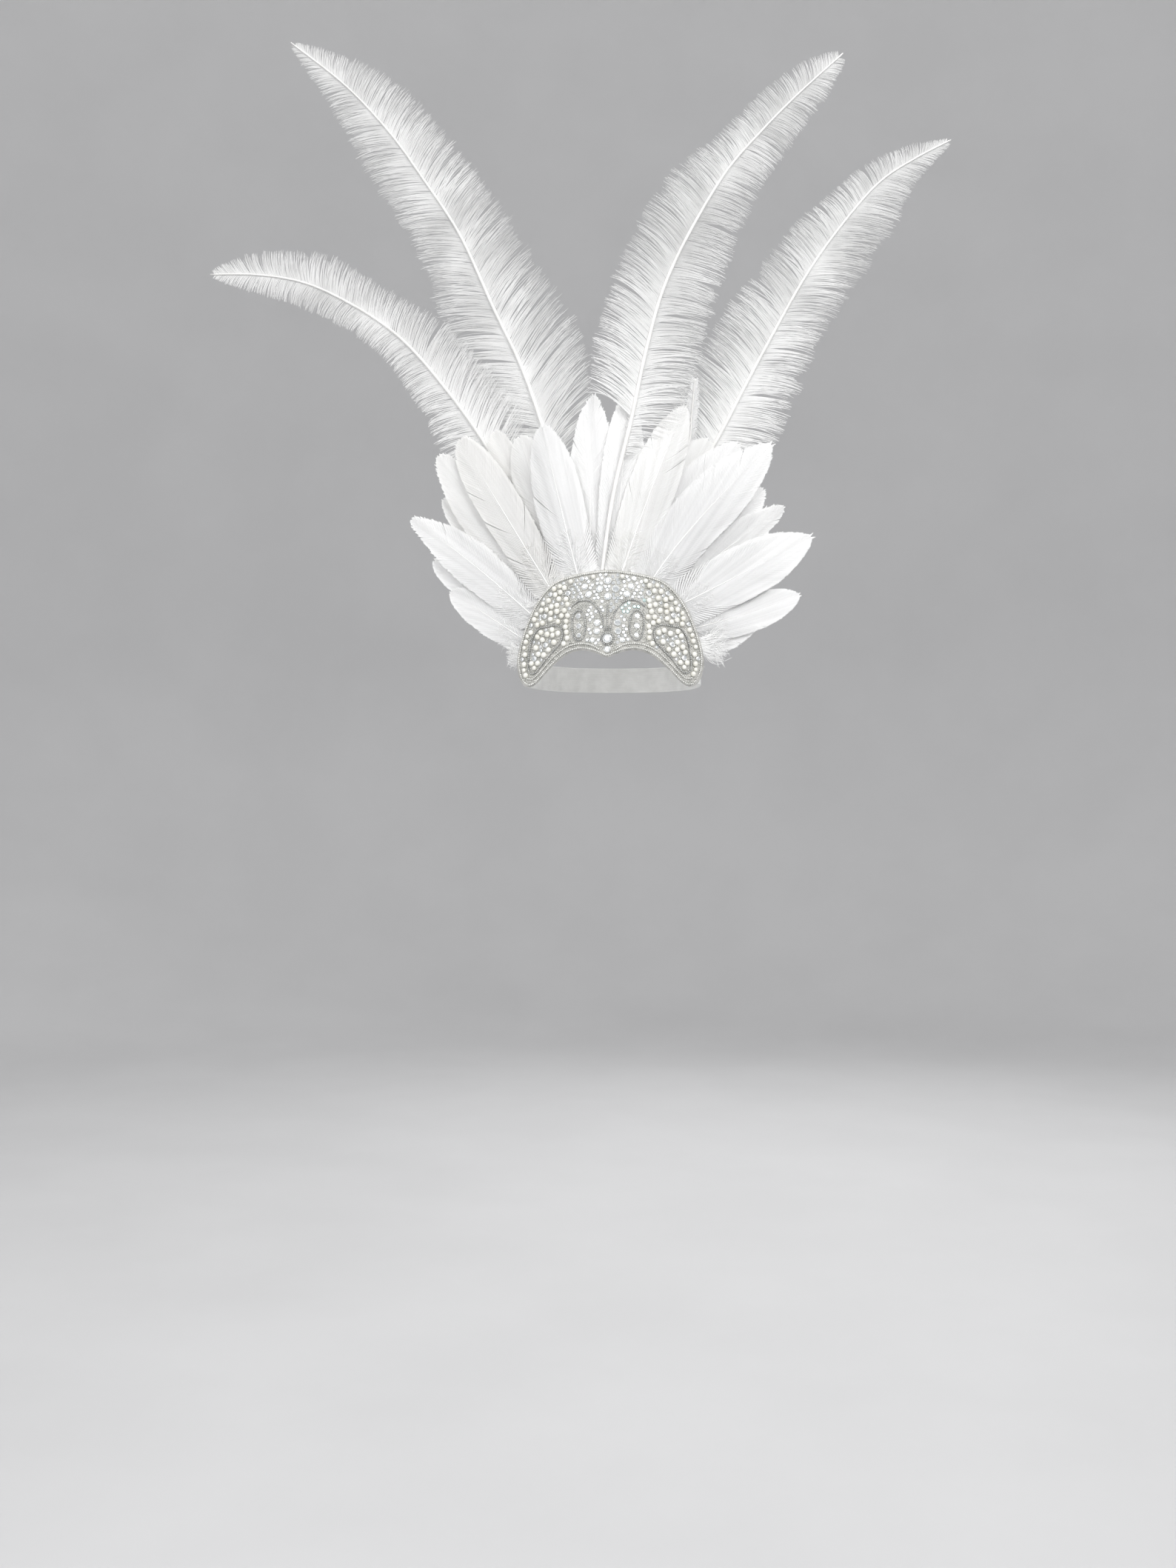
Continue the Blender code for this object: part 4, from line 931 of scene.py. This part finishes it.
# Lights: name, place, aim, size, power.
LIGHTS = [
    ("key_light", (1.3, -2.3, 1.5), (0, 0, 0.2), 1.6, 44.0),
    ("fill_light", (-1.0, -2.6, 0.9), (0, 0, 0.1), 2.0, 32.0),
    ("top_light", (-0.3, 0.5, 2.3), (0, 0, 0.2), 1.0, 12.0),
    ("back_light", (0.5, 2.6, 1.4), (0, 0, 0.2), 1.8, 34.0),
]
for name, place, aim, size, power in LIGHTS:
    light = bpy.data.lights.new(name, "AREA")
    light.shape = "DISK"
    light.size = size
    light.energy = power
    lamp = bpy.data.objects.new(name, light)
    lamp.location = place
    away = np.array(place) - np.array(aim)
    lamp.rotation_euler = (math.acos(away[2] / np.linalg.norm(away)), 0.0,
                           math.atan2(away[1], away[0]) + math.pi / 2)
    bpy.context.scene.collection.objects.link(lamp)
world = bpy.data.worlds.new("studio")
bpy.context.scene.world = world
world.use_nodes = True
world.node_tree.nodes["Background"].inputs["Color"].default_value = (1.0, 1.0, 1.0, 1.0)
world.node_tree.nodes["Background"].inputs["Strength"].default_value = 0.95

# The camera: yaw, distance to the band, place to the side, height, a point on the band,
# and the lens and the frame's height in pixels.
YAW = math.radians(4.5)
DISTANCE, ASIDE, CAMERA_Z = 1.6, 0.0208, -0.1111
BAND_SPOT = np.array([0.0, -0.06, 0.0])
FOCAL, FRAME_HIGH, SENSOR = 2285.7, 2117, 36.0
ahead = np.array([-math.sin(YAW), math.cos(YAW), 0.0])
aside = np.array([math.cos(YAW), math.sin(YAW), 0.0])
camera_data = bpy.data.cameras.new("photo_camera")
camera_data.sensor_fit = "VERTICAL"
camera_data.sensor_height = SENSOR
camera_data.lens = SENSOR * FOCAL / FRAME_HIGH
camera = bpy.data.objects.new("photo_camera", camera_data)
spot = BAND_SPOT - ahead * DISTANCE - aside * ASIDE
camera.location = (spot[0], spot[1], CAMERA_Z)
camera.rotation_euler = (math.pi / 2, 0.0, YAW)
bpy.context.scene.collection.objects.link(camera)
bpy.context.scene.camera = camera
bpy.context.scene.view_settings.view_transform = "Standard"
